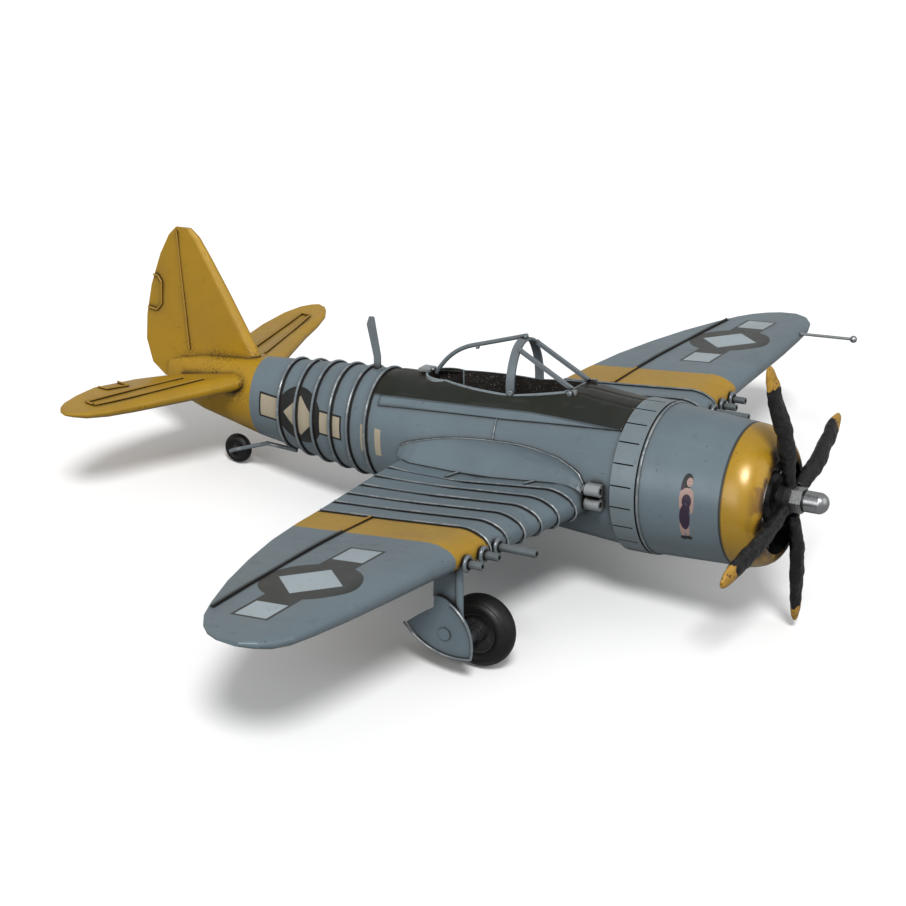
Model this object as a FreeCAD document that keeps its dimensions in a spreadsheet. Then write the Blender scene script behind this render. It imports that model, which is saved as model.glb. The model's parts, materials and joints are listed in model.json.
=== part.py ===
import FreeCAD, Part
import math
import os
import Sketcher

# Desk model of a single-engine fighter with a radial engine, soldered from sheet metal and wire.
# The model is drawn in the aircraft's own axes: +X to port, +Y aft from the propeller, +Z up.
# STAND then sets every piece on its three wheels, tail down, with the ground at Z = 0.

V = FreeCAD.Vector

SIZES = {
    # sheet and wire stock
    "skin": 0.6,
    "wire_radius": 0.5,
    "trim_radius": 0.4,
    # cowl and nose
    "cowl_front_y": 14.0,
    "cowl_front_radius": 24.9,
    "cowl_rear_y": 43.4,
    "cowl_rear_radius": 26.5,
    "cowl_drop": 0.8,
    "cowl_wire_y": 43.9,
    "flap_front_y": 44.8,
    "flap_rear_y": 54.0,
    "flap_inner_radius": 26.6,
    "flap_thickness": 0.5,
    "flap_slit": 0.25,
    "flap_count": 22,
    # engine
    "engine_plate_y": 15.0,
    "engine_plate_radius": 24.1,
    "crankcase_front_y": 3.6,
    "crankcase_nose_radius": 5.6,
    "crankcase_radius": 8.5,
    "cylinder_radius": 2.9,
    "cylinder_top": 20.0,
    "cylinder_y": 10.2,
    "cylinder_count": 9,
    "rod_radius": 0.45,
    "rod_y": 6.8,
    # propeller and shaft
    "shaft_radius": 2.5,
    "bearing_clearance": 0.05,
    "shaft_front_y": -9.5,
    "shaft_rear_y": 17.5,
    "bolt_head_radius": 4.4,
    "bolt_head_length": 3.0,
    "hub_radius": 6.2,
    "hub_front_y": -2.2,
    "hub_rear_y": 1.8,
    "blade_plane_y": -1.4,
    "propeller_phase": -17.2,
    "nut_across_flats": 8.0,
    "nut_length": 4.0,
    "cap_radius": 3.7,
    "cap_length": 5.8,
    "cap_dome": 2.8,
    # fuselage hoops
    "hoop_first_y": 158.0,
    "hoop_pitch": 8.0,
    "hoop_count": 6,
    # cockpit
    "cockpit_front_y": 80.0,
    "cockpit_rear_y": 141.0,
    "cockpit_half_width": 11.4,
    "coaming": 0.8,
    "coaming_top": 24.9,
    "coaming_front_top": 28.1,
    "hoop_arch_y": 101.4,
    "arch_half_width": 11.3,
    "arch_foot": 24.9,
    "arch_rise": 18.1,
    "arch_strip": 3.2,
    "arch_thickness": 0.9,
    # wings
    "hollow_tail": 10.0,
    "rib_first_x": 34.5,
    "rib_pitch": 10.7,
    "rib_count": 6,
    "gun_radius": 1.35,
    "gun_bore_radius": 0.75,
    "gun_height": -2.0,
    "collar_radius": 0.8,
    # landing gear
    "gear_x": 100.0,
    "gear_y": 71.0,
    "strut_radius": 1.3,
    "wheel_x": 86.0,
    "wheel_drop": 31.3,
    "tyre_radius": 12.4,
    "tyre_width": 10.0,
    "rim_radius": 7.0,
    "axle_radius": 1.2,
    "wheel_clearance": 0.06,
    "tail_wheel_y": 226.5,
    "tail_wheel_drop": 17.3,
    "tail_tyre_radius": 5.7,
    "tail_tyre_width": 4.2,
    "tail_rim_radius": 2.6,
    "tail_axle_radius": 0.8,
    # distance from the propeller plane to the middle of the model's length
    "length_centre_y": 127.0,
}

# Stations of the lofted shells: each row of a table becomes one drawn section.
TABLES = {
    "fuselage": (("y", "mid", "high", "wide"), [
        (44.4, 0.0, 26.5, 26.4),
        (60.0, 0.3, 25.6, 25.2),
        (100.0, 1.2, 23.6, 21.6),
        (150.0, 2.6, 21.2, 18.4),
        (182.0, 4.0, 18.6, 16.0),
        (212.0, 5.6, 15.2, 12.6),
    ]),
    "tail_cone": (("y", "mid", "high", "wide"), [
        (212.0, 5.6, 15.2, 12.6),
        (226.0, 6.6, 13.1, 9.9),
        (240.0, 7.5, 11.0, 7.0),
        (250.0, 8.2, 8.4, 4.2),
        (257.0, 8.8, 5.6, 1.9),
    ]),
    "nose": (("y", "mid", "radius"), [
        (14.0, -0.8, 24.9),
        (8.0, -1.2, 24.0),
        (3.8, -1.9, 21.7),
        (1.9, -2.7, 18.4),
    ]),
    # nose centre line, half depth and trailing-edge line of the folded wing sheet, and the sag of its top
    "wing": (("x", "lead", "trail", "nose_mid", "nose_radius", "tail_mid", "sag"), [
        (14.0, 62.8, 139.0, -5.4, 5.6, -1.6, 1.6),
        (34.5, 63.2, 137.9, -4.6, 5.9, -1.3, 1.6),
        (47.0, 64.3, 136.9, -4.0, 5.8, -1.1, 0.6),
        (60.0, 65.3, 135.8, -3.4, 5.6, -1.0, 0.5),
        (88.0, 66.6, 132.3, -1.7, 5.5, 0.0, 0.1),
        (105.0, 67.3, 129.8, -0.5, 5.4, 1.2, 0.0),
        (125.0, 68.4, 126.2, 0.3, 5.3, 2.4, 0.0),
        (145.0, 69.4, 121.4, 0.9, 4.9, 3.2, 0.0),
        (165.0, 70.4, 115.6, 1.6, 4.3, 3.8, 0.0),
        (183.0, 71.6, 109.0, 2.4, 3.4, 4.2, 0.0),
        (193.0, 72.4, 104.6, 3.0, 2.7, 4.4, 0.0),
        (199.5, 74.2, 100.2, 3.6, 2.0, 4.6, 0.0),
        (204.0, 77.4, 95.6, 4.2, 1.3, 4.7, 0.0),
        (206.8, 82.5, 90.5, 4.6, 0.8, 4.8, 0.0),
    ]),
    "stabilizer_left": (("x", "lead", "trail", "nose_mid", "nose_radius", "tail_mid", "sag"), [
        (3.0, 213.5, 248.8, 12.1, 3.2, 8.9, 0.0),
        (30.0, 222.2, 251.0, 12.5, 3.0, 11.2, 0.0),
        (55.0, 230.2, 251.2, 13.3, 2.6, 15.2, 0.0),
        (68.0, 233.0, 249.4, 14.3, 2.1, 17.2, 0.0),
        (77.0, 235.6, 247.6, 15.3, 1.5, 17.8, 0.0),
        (82.0, 238.4, 245.4, 16.2, 0.9, 17.8, 0.0),
        (84.5, 240.6, 243.4, 16.8, 0.5, 17.6, 0.0),
    ]),
    "stabilizer_right": (("x", "lead", "trail", "nose_mid", "nose_radius", "tail_mid", "sag"), [
        (3.0, 213.5, 248.8, 12.1, 3.2, 9.8, 0.0),
        (30.0, 222.2, 251.0, 12.5, 3.0, 14.2, 0.0),
        (55.0, 230.2, 251.2, 13.3, 2.6, 17.4, 0.0),
        (68.0, 233.0, 249.4, 14.3, 2.1, 17.9, 0.0),
        (77.0, 235.6, 247.6, 15.3, 1.5, 17.9, 0.0),
        (82.0, 238.4, 245.4, 16.2, 0.9, 17.8, 0.0),
        (84.5, 240.6, 243.4, 16.8, 0.5, 17.6, 0.0),
    ]),
    "fin": (("z", "lead", "trail", "nose_mid", "nose_radius", "tail_mid", "sag"), [
        (7.4, 221.0, 259.4, 0.0, 2.1, 0.0, 0.0),
        (12.0, 216.5, 265.2, 0.0, 2.2, 0.0, 0.0),
        (21.0, 214.9, 267.7, 0.0, 2.2, 0.0, 0.0),
        (31.1, 220.8, 266.9, 0.0, 2.1, 0.0, 0.0),
        (43.0, 227.8, 264.2, 0.0, 1.9, 0.0, 0.0),
        (55.6, 235.6, 259.4, 0.0, 1.7, 0.0, 0.0),
        (63.5, 240.8, 255.0, 0.0, 1.4, 0.0, 0.0),
        (66.8, 244.6, 251.6, 0.0, 0.9, 0.0, 0.0),
    ]),
    # half chord, half thickness, pitch and aft sweep of each blade section
    "blade": (("reach", "half_chord", "half_thick", "pitch", "aft"), [
        (6.25, 2.3, 2.0, -16.0, 0.0),
        (11.0, 2.9, 2.2, -12.0, 0.0),
        (22.0, 3.7, 2.4, -8.0, 0.0),
        (34.0, 3.9, 2.3, -6.0, 1.3),
        (43.0, 3.6, 1.9, -5.0, 2.4),
        (49.0, 2.8, 1.4, -4.0, 3.0),
        (52.0, 1.5, 0.8, -4.0, 3.2),
    ]),
    # upper edge on the fuselage side and outer foot of the wing-root panel
    "fairing": (("y", "edge", "foot"), [
        (64.6, 1.6, 26.6),
        (67.0, 4.8, 26.6),
        (70.0, 6.5, 26.6),
        (76.0, 8.7, 26.6),
        (86.0, 10.1, 26.6),
        (100.0, 10.1, 26.6),
        (114.0, 9.2, 26.6),
        (126.0, 7.3, 26.6),
        (134.0, 5.2, 26.6),
        (139.0, 3.6, 24.0),
        (142.4, 1.8, 21.0),
    ]),
    # machine-gun barrels from the inner to the outer one
    "gun": (("x", "muzzle"), [
        (84.2, 51.3),
        (93.0, 60.2),
        (102.8, 60.8),
    ]),
}

EDGE = 0.35           # half thickness of the closed trailing edges
NOSE = 1.9            # length of a foil's rounded nose over its half depth
NOSE_CURVE = ((1.0, 0.883), (0.445, 0.643))      # points on that nose, aft and up in half depths
SIDES = (("left", 1), ("right", -1))

doc = FreeCAD.newDocument("PropellerPlaneModel")
sheet = doc.addObject("Spreadsheet::Sheet", "Sizes")


def fill_sheet():
    """Write every driving dimension into the sheet under its own alias."""
    for name, (columns, rows) in TABLES.items():
        for number, row in enumerate(rows, 1):
            for column, value in zip(columns, row):
                SIZES["%s_%s_%d" % (name, column, number)] = value
    for line, (alias, value) in enumerate(SIZES.items(), 1):
        sheet.set("A%d" % line, alias.replace("_", " "))
        sheet.set("B%d" % line, str(value))
        sheet.setAlias("B%d" % line, alias)
    doc.recompute()


def size(term):
    """Number that a term such as "wing_lead_1 + 0.5*skin" stands for."""
    total, sign = 0.0, 1.0
    for word in str(term).split():
        if word in ("+", "-"):
            sign = 1.0 if word == "+" else -1.0
        else:
            value = sign
            for factor in word.split("*"):
                value *= float(sheet.get(factor)) if factor in SIZES else float(factor)
            total += value
            sign = 1.0
    return total


def expression(term):
    """The same term as an expression bound to the sheet's cells."""
    words = ["*".join("Sizes." + factor if factor in SIZES else factor for factor in word.split("*"))
             for word in str(term).split()]
    return ("0 " if words[0] == "-" else "") + " ".join(words)


def is_driven(term):
    """Whether a term uses any cell of the sheet."""
    return any(factor in SIZES for word in str(term).split() for factor in word.split("*"))


def bind(thing, path, term):
    thing.setExpression(path, expression(term))


def rows_of(table):
    return range(1, len(TABLES[table][1]) + 1)


def stand_placement():
    """Pitch and lift that put the main wheels and the tail wheel on one level floor."""
    run = size("tail_wheel_y") - size("gear_y")
    rise = size("wheel_drop") - size("tail_wheel_drop")
    growth = size("tyre_radius") - size("tail_tyre_radius")
    pitch = math.atan2(rise, run) + math.asin(growth / math.hypot(run, rise))
    lift = size("gear_y") * math.sin(pitch) + size("wheel_drop") * math.cos(pitch) + size("tyre_radius")
    turn = FreeCAD.Rotation(V(1, 0, 0), -math.degrees(pitch))
    return FreeCAD.Placement(V(0, -size("length_centre_y"), lift), turn)


fill_sheet()
STAND = stand_placement()
nodes = []


def place(thing, at=V(0, 0, 0), turn=FreeCAD.Rotation()):
    """Set a piece, drawn about its own origin, at a point of the aircraft and stand it up."""
    thing.Placement = STAND.multiply(FreeCAD.Placement(at, turn))
    return thing


def node(thing, name):
    """Keep a finished piece under the name of its file."""
    thing.Label = name
    nodes.append(thing)
    return thing


# ---------------------------------------------------------------- sketch and feature helpers


def new_body(name):
    return place(doc.addObject("PartDesign::Body", name))


def origin_feature(body, role):
    return [feature for feature in body.Origin.OriginFeatures if feature.Role == role][0]


def sketch_on(body, role, offset=0):
    """Sketch on one of the body's origin planes, moved along its normal by a bound offset."""
    sketch = body.newObject("Sketcher::SketchObject", "Sketch")
    sketch.AttachmentSupport = [(origin_feature(body, role), "")]
    sketch.MapMode = "FlatFace"
    if offset != 0:
        bind(sketch, "AttachmentOffset.Base.z", offset)
    return sketch


def constrain(sketch, kind, places, term):
    index = sketch.addConstraint(Sketcher.Constraint(kind, *places, size(term)))
    if is_driven(term):
        sketch.renameConstraint(index, "dim%d" % index)
        bind(sketch, "Constraints.dim%d" % index, term)


def pin(sketch, geometry, position, x, y):
    """Fix one point of a sketch by its distances from the sketch's origin."""
    constrain(sketch, "DistanceX", (-1, 1, geometry, position), x)
    constrain(sketch, "DistanceY", (-1, 1, geometry, position), y)


def point(x, y):
    return V(size(x), size(y), 0)


def outline(sketch, start, edges):
    """Chain of lines (end) and arcs (middle, end); it closes if it ends where it started."""
    first = sketch.GeometryCount
    here, closed = start, False
    for number, edge in enumerate(edges):
        if len(edge) == 1:
            sketch.addGeometry(Part.LineSegment(point(*here), point(*edge[0])), False)
            ends = (1, 2)
        else:
            sketch.addGeometry(Part.Arc(point(*here), point(*edge[0]), point(*edge[1])), False)
            along = sketch.getPoint(first + number, 1).sub(point(*here)).Length < 1e-6
            ends = (1, 2) if along else (2, 1)
            chord = point(*edge[1]).sub(point(*here))
            centre = sketch.Geometry[first + number].Center
            kind, where = ("DistanceX", centre.x) if abs(chord.y) > abs(chord.x) else ("DistanceY", centre.y)
            sketch.addConstraint(Sketcher.Constraint(kind, -1, 1, first + number, 3, where))
        if number == 0:
            pin(sketch, first, ends[0], *here)
            begin = ends[0]
        else:
            sketch.addConstraint(Sketcher.Constraint("Coincident", first + number, ends[0],
                                                     first + number - 1, last))
        here, last = edge[-1], ends[1]
        closed = point(*here).sub(point(*start)).Length < 1e-6
        if not closed:
            pin(sketch, first + number, last, *here)
    if closed:
        sketch.addConstraint(Sketcher.Constraint("Coincident", first + len(edges) - 1, last, first, begin))
    return sketch


def circle(sketch, radius, x=0, y=0):
    index = sketch.addGeometry(Part.Circle(point(x, y), V(0, 0, 1), size(radius)), False)
    constrain(sketch, "Radius", (index,), radius)
    pin(sketch, index, 3, x, y)
    return sketch


def ellipse(sketch, mid, high, wide):
    """Upright ellipse centred on the sketch's vertical axis."""
    top = point(0, mid).add(V(0, size(high), 0))
    side = point(0, mid).add(V(size(wide), 0, 0))
    curve = sketch.addGeometry(Part.Ellipse(top, side, point(0, mid)), False)
    sketch.exposeInternalGeometry(curve)
    pin(sketch, curve, 3, 0, mid)
    sketch.addConstraint(Sketcher.Constraint("Vertical", curve + 1))
    constrain(sketch, "Distance", (curve + 1,), "%s + %s" % (high, high))
    constrain(sketch, "Distance", (curve + 2,), "%s + %s" % (wide, wide))
    return sketch


def foil(sketch, key, inset="0", trail_cut="0", tail_drop="0", edge=EDGE, across=False):
    """Folded-sheet section: a rounded nose, a top that may sag and two faces that meet at the trail."""
    lead, trail, radius = key % "lead", key % "trail", key % "nose_radius"
    nose_mid, tail_mid = key % "nose_mid", key % "tail_mid"

    def at(along, up):
        return (up, along) if across else (along, up)

    def nose(aft, up, sign):
        along = "%s + %g*%s" % (lead, aft, radius)
        height = "%s %s %g*%s" % (nose_mid, sign, up, radius)
        if inset != "0":
            along += " + %g*%s" % (1 - aft, inset) if aft <= 1 else " - %g*%s" % (aft - 1, inset)
            height += " %s %g*%s" % ("-" if sign == "+" else "+", up, inset)
        return at(along, height)

    (near_aft, near_up), (low_aft, low_up) = NOSE_CURVE
    tail = "%s - %s" % (trail, trail_cut)
    tail_height = "%s + %s" % (tail_mid, tail_drop)
    middle = "0.5*%s + %g*%s + 0.5*%s - 0.5*%s" % (lead, NOSE / 2, radius, trail, trail_cut)
    dip = "0.5*%s + 0.5*%s - 0.5*%s + 0.5*%s + 0.5*%s + %g - %s" % (
        nose_mid, radius, inset, tail_mid, tail_drop, edge / 2, key % "sag")
    outline(sketch, nose(NOSE, 1, "-"), [
        (nose(near_aft, near_up, "-"), nose(low_aft, low_up, "-")),
        (nose(0, 0, "+"), nose(low_aft, low_up, "+")),
        (nose(near_aft, near_up, "+"), nose(NOSE, 1, "+")),
        (at(middle, dip),),
        (at(tail, "%s + %g" % (tail_height, edge)),),
        (at(tail, "%s - %g" % (tail_height, edge)),),
        (nose(NOSE, 1, "-"),),
    ])
    return sketch


def feature(body, kind, profile, **options):
    made = body.newObject("PartDesign::" + kind, kind)
    made.Profile = profile
    for key, value in options.items():
        if isinstance(value, str) and key in ("Length", "Angle"):
            bind(made, key, value)
        else:
            setattr(made, key, value)
    return made


def loft(body, sections, cut=False, ruled=True):
    kind = "SubtractiveLoft" if cut else "AdditiveLoft"
    return feature(body, kind, sections[0], Sections=sections[1:], Ruled=ruled)


def revolve(body, sketch, role="Y_Axis"):
    return feature(body, "Revolution", sketch, ReferenceAxis=(origin_feature(body, role), ""), Angle=360.0)


def pattern(body, made, count, role="Y_Axis"):
    turned = body.newObject("PartDesign::PolarPattern", "PolarPattern")
    turned.Originals = [made]
    turned.Axis = (origin_feature(body, role), "")
    turned.Angle = 360
    bind(turned, "Occurrences", count)
    body.Tip = turned
    return turned


def tangent_arcs(start, heading, stops):
    """Arcs through the stops, each leaving in the direction in which the last one arrived."""
    edges, here, way = [], V(start[0], start[1], 0), V(heading[0], heading[1], 0).normalize()
    for stop in stops:
        there = V(stop[0], stop[1], 0)
        chord = there.sub(here)
        span = chord.Length
        chord.normalize()
        turn = math.atan2(way.cross(chord).z, way.dot(chord))
        bulge = V(chord.y, -chord.x, 0) * (span / 2 * math.tan(turn / 2))
        middle = here.add(there) * 0.5 + bulge
        edges.append((stop,) if bulge.Length < 0.002 else ((middle.x, middle.y), stop))
        way = chord * (2 * way.dot(chord)) - way
        here = there
    return edges


def wire(name, role, offset, start, edges, radius):
    """Round wire along a path that lies in one plane."""
    body = new_body(name)
    return sweep(body, outline(sketch_on(body, role, offset), start, edges), radius)


def sweep(body, path, radius):
    """Round section carried along a drawn path."""
    profile = body.newObject("Sketcher::SketchObject", "Section")
    profile.AttachmentSupport = [(path, "Edge1")]
    profile.MapMode = "NormalToEdge"
    profile.MapPathParameter = 0
    circle(profile, radius)
    doc.recompute()
    feature(body, "AdditivePipe", profile, Spine=path, Transition="Round corner")
    return body


def cylinder(name, radius, length, at, axis):
    """Plain rod whose start lies at a point of the aircraft."""
    rod = doc.addObject("Part::Cylinder", name)
    bind(rod, "Radius", radius)
    bind(rod, "Height", length)
    return place(rod, at, FreeCAD.Rotation(V(0, 0, 1), axis))


def cut(name, base, tool):
    made = doc.addObject("Part::Cut", name)
    made.Base, made.Tool = base, tool
    return made


def group(name, pieces):
    """Separate solids that share one node."""
    made = doc.addObject("Part::Compound", name)
    made.Links = pieces
    return made


def mirrored(x, side):
    """The same lateral distance to port (1) or to starboard (-1)."""
    return x if side > 0 else "- %s" % x


# ---------------------------------------------------------------- fuselage


def tube_sections(body, table, inset="0"):
    sections = []
    for row in rows_of(table):
        key = "%s_%%s_%d" % (table, row)
        sketch = sketch_on(body, "XZ_Plane", "- " + key % "y")
        ellipse(sketch, key % "mid", "%s - %s" % (key % "high", inset), "%s - %s" % (key % "wide", inset))
        sections.append(sketch)
    return sections


def cockpit_outline(sketch, inset="0"):
    """Plan of the cockpit opening: straight front, bowed sides, round back."""
    half = "cockpit_half_width - %s" % inset
    front = "cockpit_front_y + %s" % inset
    rear = "cockpit_rear_y - %s" % inset
    return outline(sketch, ("- 6.6 + %s" % inset, front), [
        (("6.6 - %s" % inset, front),),
        ((half, "hoop_arch_y"), ("7.4 - %s" % inset, "130")),
        (("0", rear), ("- 7.4 + %s" % inset, "130")),
        (("- cockpit_half_width + %s" % inset, "hoop_arch_y"), ("- 6.6 + %s" % inset, front)),
    ])


def build_fuselage():
    form = new_body("FuselageForm")
    loft(form, tube_sections(form, "fuselage"))

    tail_form = new_body("TailForm")
    loft(tail_form, tube_sections(tail_form, "tail_cone"))

    shell = new_body("FuselageShell")
    loft(shell, tube_sections(shell, "fuselage"))
    loft(shell, tube_sections(shell, "fuselage", "skin"), cut=True)
    opening = cockpit_outline(sketch_on(shell, "XY_Plane", 5))
    feature(shell, "Pocket", opening, Length=40.0, Reversed=True)

    cone = new_body("TailCone")
    loft(cone, tube_sections(cone, "tail_cone"))
    inner = tube_sections(cone, "tail_cone", "skin")
    loft(cone, inner[:4], cut=True)
    node(shell, "fuselage_skin")
    node(cone, "tail_cone_skin")
    return form, tail_form


def build_coaming():
    """Upright sheet strip round the cockpit opening, higher towards the windscreen."""
    body = new_body("Coaming")
    plan = cockpit_outline(sketch_on(body, "XY_Plane", 17))
    cockpit_outline(plan, "coaming")
    feature(body, "Pad", plan, Length=14.0)
    side = outline(sketch_on(body, "YZ_Plane"), ("145", "40"), [
        (("145", "coaming_top + 0.6"),),
        (("hoop_arch_y", "coaming_top"),),
        (("cockpit_front_y", "coaming_front_top"),),
        (("75", "coaming_front_top"),),
        (("75", "40"),),
        (("145", "40"),),
    ])
    feature(body, "Pocket", side, Length=60.0, Midplane=True)
    return node(body, "cockpit_coaming")


def build_cowl():
    body = new_body("Cowl")
    for inset, is_cut in (("0", False), ("skin", True)):
        front = sketch_on(body, "XZ_Plane", "- cowl_front_y")
        circle(front, "cowl_front_radius - " + inset, 0, "- cowl_drop")
        rear = sketch_on(body, "XZ_Plane", "- cowl_rear_y")
        circle(rear, "cowl_rear_radius - " + inset)
        loft(body, [front, rear], cut=is_cut)
    node(body, "cowl_skin")

    ring = new_body("NoseRing")
    for inset, is_cut in (("0", False), ("skin", True)):
        sections = []
        for row in rows_of("nose"):
            key = "nose_%%s_%d" % row
            sketch = sketch_on(ring, "XZ_Plane", "- " + key % "y")
            circle(sketch, "%s - %s - %s" % (key % "radius", inset, inset), 0, key % "mid")
            sections.append(sketch)
        loft(ring, sections, cut=is_cut, ruled=False)
    node(ring, "nose_ring")

    bead = new_body("CowlBead")
    path = circle(sketch_on(bead, "XZ_Plane", "- cowl_wire_y"), "cowl_rear_radius + 0.1")
    node(sweep(bead, path, "wire_radius"), "cowl_bead_wire")

    flaps = new_body("CowlFlaps")
    inner, outer = "flap_inner_radius", "flap_inner_radius + flap_thickness"
    section = outline(sketch_on(flaps, "YZ_Plane"), ("flap_front_y", inner), [
        (("flap_rear_y", inner),),
        (("flap_rear_y", outer),),
        (("flap_front_y", outer),),
        (("flap_front_y", inner),),
    ])
    revolve(flaps, section)
    slit_front = "flap_front_y + 1.4"
    slit = outline(sketch_on(flaps, "XY_Plane", 24), ("- flap_slit", slit_front), [
        (("flap_slit", slit_front),),
        (("flap_slit", "flap_rear_y + 1"),),
        (("- flap_slit", "flap_rear_y + 1"),),
        (("- flap_slit", slit_front),),
    ])
    doc.recompute()
    gap = feature(flaps, "Pocket", slit, Length=6.0, Reversed=True)
    pattern(flaps, gap, "flap_count")
    node(flaps, "cowl_flaps")


# ---------------------------------------------------------------- engine


def build_engine():
    plate = new_body("EnginePlate")
    face = sketch_on(plate, "XZ_Plane", "- engine_plate_y")
    circle(face, "engine_plate_radius", 0, "- cowl_drop")
    circle(face, "shaft_radius + bearing_clearance")
    feature(plate, "Pad", face, Length="skin", Reversed=True)
    node(plate, "engine_plate")

    case = new_body("Crankcase")
    bore = "shaft_radius + bearing_clearance"
    section = outline(sketch_on(case, "YZ_Plane"), ("crankcase_front_y", bore), [
        (("engine_plate_y", bore),),
        (("engine_plate_y", "crankcase_radius"),),
        (("crankcase_front_y + 4.4", "crankcase_radius"),),
        (("crankcase_front_y + 1.2", "8.0"), ("crankcase_front_y", "crankcase_nose_radius"),),
        (("crankcase_front_y", bore),),
    ])
    revolve(case, section)
    node(case, "engine_crankcase")

    barrels, rods = [], []
    count = int(size("cylinder_count"))
    for number in range(count):
        angle = 2 * math.pi * (number + 0.5) / count
        out = V(math.sin(angle), 0, math.cos(angle))
        start = out * size("crankcase_radius")
        barrels.append(cylinder("Barrel", "cylinder_radius", "cylinder_top - crankcase_radius",
                                start + V(0, size("cylinder_y"), 0), out))
        rods.append(cylinder("Rod", "rod_radius", "cylinder_top - crankcase_radius",
                             start + V(0, size("rod_y"), 0), out))
    node(group("EngineBarrels", barrels), "engine_cylinders")
    node(group("PushRods", rods), "engine_push_rods")


# ---------------------------------------------------------------- propeller


def build_propeller():
    bolt = new_body("ShaftBolt")
    head_y = "shaft_rear_y + bolt_head_length"
    section = outline(sketch_on(bolt, "YZ_Plane"), ("shaft_front_y", "0"), [
        (("shaft_front_y", "shaft_radius"),),
        (("shaft_rear_y", "shaft_radius"),),
        (("shaft_rear_y", "bolt_head_radius"),),
        ((head_y, "bolt_head_radius"),),
        ((head_y, "0"),),
        (("shaft_front_y", "0"),),
    ])
    revolve(bolt, section)
    node(bolt, "propeller_shaft")

    hub = new_body("Hub")
    section = outline(sketch_on(hub, "YZ_Plane"), ("hub_front_y", "shaft_radius"), [
        (("hub_front_y", "hub_radius - 1.4"),),
        (("hub_front_y + 1.4", "hub_radius"),),
        (("hub_rear_y", "hub_radius"),),
        (("hub_rear_y", "shaft_radius"),),
        (("hub_front_y", "shaft_radius"),),
    ])
    revolve(hub, section)
    node(hub, "propeller_hub")

    for number in range(4):
        blade = doc.addObject("PartDesign::Body", "Blade")
        turn = FreeCAD.Rotation(V(0, 1, 0), size("propeller_phase") + 90.0 * number)
        place(blade, V(0, 0, 0), turn)
        sections = []
        for row in rows_of("blade"):
            key = "blade_%%s_%d" % row
            sketch = sketch_on(blade, "XY_Plane", key % "reach")
            bind(sketch, "AttachmentOffset.Base.y", "blade_plane_y + " + key % "aft")
            pitch = FreeCAD.Rotation(V(0, 0, 1), 90.0 + size(key % "pitch"))
            sketch.AttachmentOffset = FreeCAD.Placement(sketch.AttachmentOffset.Base, pitch)
            ellipse(sketch, "0", key % "half_chord", key % "half_thick")
            sections.append(sketch)
        loft(blade, sections, ruled=False)
        node(blade, "propeller_blade_%d" % (number + 1))

    nut = new_body("Nut")
    face = sketch_on(nut, "XZ_Plane", "- hub_front_y")
    corner = size("nut_across_flats") / math.sqrt(3)
    corners = [(corner * math.cos(math.radians(60 * turn)), corner * math.sin(math.radians(60 * turn)))
               for turn in range(7)]
    outline(face, corners[0], [(corner_point,) for corner_point in corners[1:]])
    circle(face, "shaft_radius")
    feature(nut, "Pad", face, Length="nut_length")
    node(nut, "propeller_nut")

    cap = new_body("Cap")
    start = "hub_front_y - nut_length"
    shoulder = "hub_front_y - nut_length - cap_length"
    tip = "hub_front_y - nut_length - cap_length - cap_dome"
    section = outline(sketch_on(cap, "YZ_Plane"), (start, "shaft_radius"), [
        ((start, "cap_radius - 0.5"),),
        (("%s - 0.8" % start, "cap_radius - 0.5"),),
        (("%s - 0.8" % start, "cap_radius"),),
        ((shoulder, "cap_radius"),),
        (("%s - 1.9" % shoulder, "cap_radius - 1.1"), (tip, "0.5")),
        ((tip, "0"),),
        (("shaft_front_y", "0"),),
        (("shaft_front_y", "shaft_radius"),),
        ((start, "shaft_radius"),),
    ])
    revolve(cap, section)
    node(cap, "propeller_cap_nut")


# ---------------------------------------------------------------- wings and tail surfaces


def foil_sections(body, table, role, side=1, rows=None, hollow=False, across=False):
    sections = []
    for row in rows or rows_of(table):
        key = "%s_%%s_%d" % (table, row)
        sketch = sketch_on(body, role, mirrored(key % TABLES[table][0][0], side))
        if hollow:
            share = size("hollow_tail") / (size(key % "trail") - size(key % "lead"))
            drop = share * (size(key % "nose_mid") - size(key % "tail_mid"))
            foil(sketch, key, "skin", "hollow_tail", "%.4f" % drop, 0.15, across)
        else:
            foil(sketch, key, across=across)
        sections.append(sketch)
    return sections


def station_at(table, along):
    """The row of a station table, interpolated at any place along it."""
    rows = TABLES[table][1]
    for low, high in zip(rows, rows[1:]):
        if low[0] <= along <= high[0]:
            share = (along - low[0]) / (high[0] - low[0])
            return [a + share * (b - a) for a, b in zip(low, high)]


def foil_face(table, x, y, side=1):
    """Height of a lofted surface's upper (1) or lower (-1) face at a place in plan."""
    _, lead, trail, nose_mid, radius, tail_mid, sag = station_at(table, x)
    crest_y, crest, tail = lead + NOSE * radius, nose_mid + side * radius, tail_mid + side * EDGE
    if y < crest_y:
        share = min(1.0, (crest_y - y) / (crest_y - lead))
        return nose_mid + side * radius * math.sqrt(1 - share * share)
    share = (y - crest_y) / (trail - crest_y)
    dip = sag * (1 - abs(2 * share - 1)) if side > 0 else 0.0
    return crest + (tail - crest) * share - dip


def build_wing(name, side, fuselage_form):
    form = new_body("WingForm")
    loft(form, foil_sections(form, "wing", "YZ_Plane", side))
    shell = new_body("Wing")
    loft(shell, foil_sections(shell, "wing", "YZ_Plane", side))
    hollow = foil_sections(shell, "wing", "YZ_Plane", side, rows=range(1, 11), hollow=True)
    loft(shell, hollow, cut=True)
    node(cut("WingCut", shell, fuselage_form), "wing_" + name)

    wires = [rib_wire(size("rib_first_x") + number * size("rib_pitch"), side)
             for number in range(int(size("rib_count")))]
    for start, end in (((26.4, 113.6), (33.6, 114.9)), ((26.4, 83.2), (31.2, 84.9))):
        wires.append(surface_wire(side, start, end))
    node(group("RibSet", wires), "wing_rib_wires_" + name)
    return form, surface_wire(side, (88.8, 111.2), (186.5, 106.4))


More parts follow.
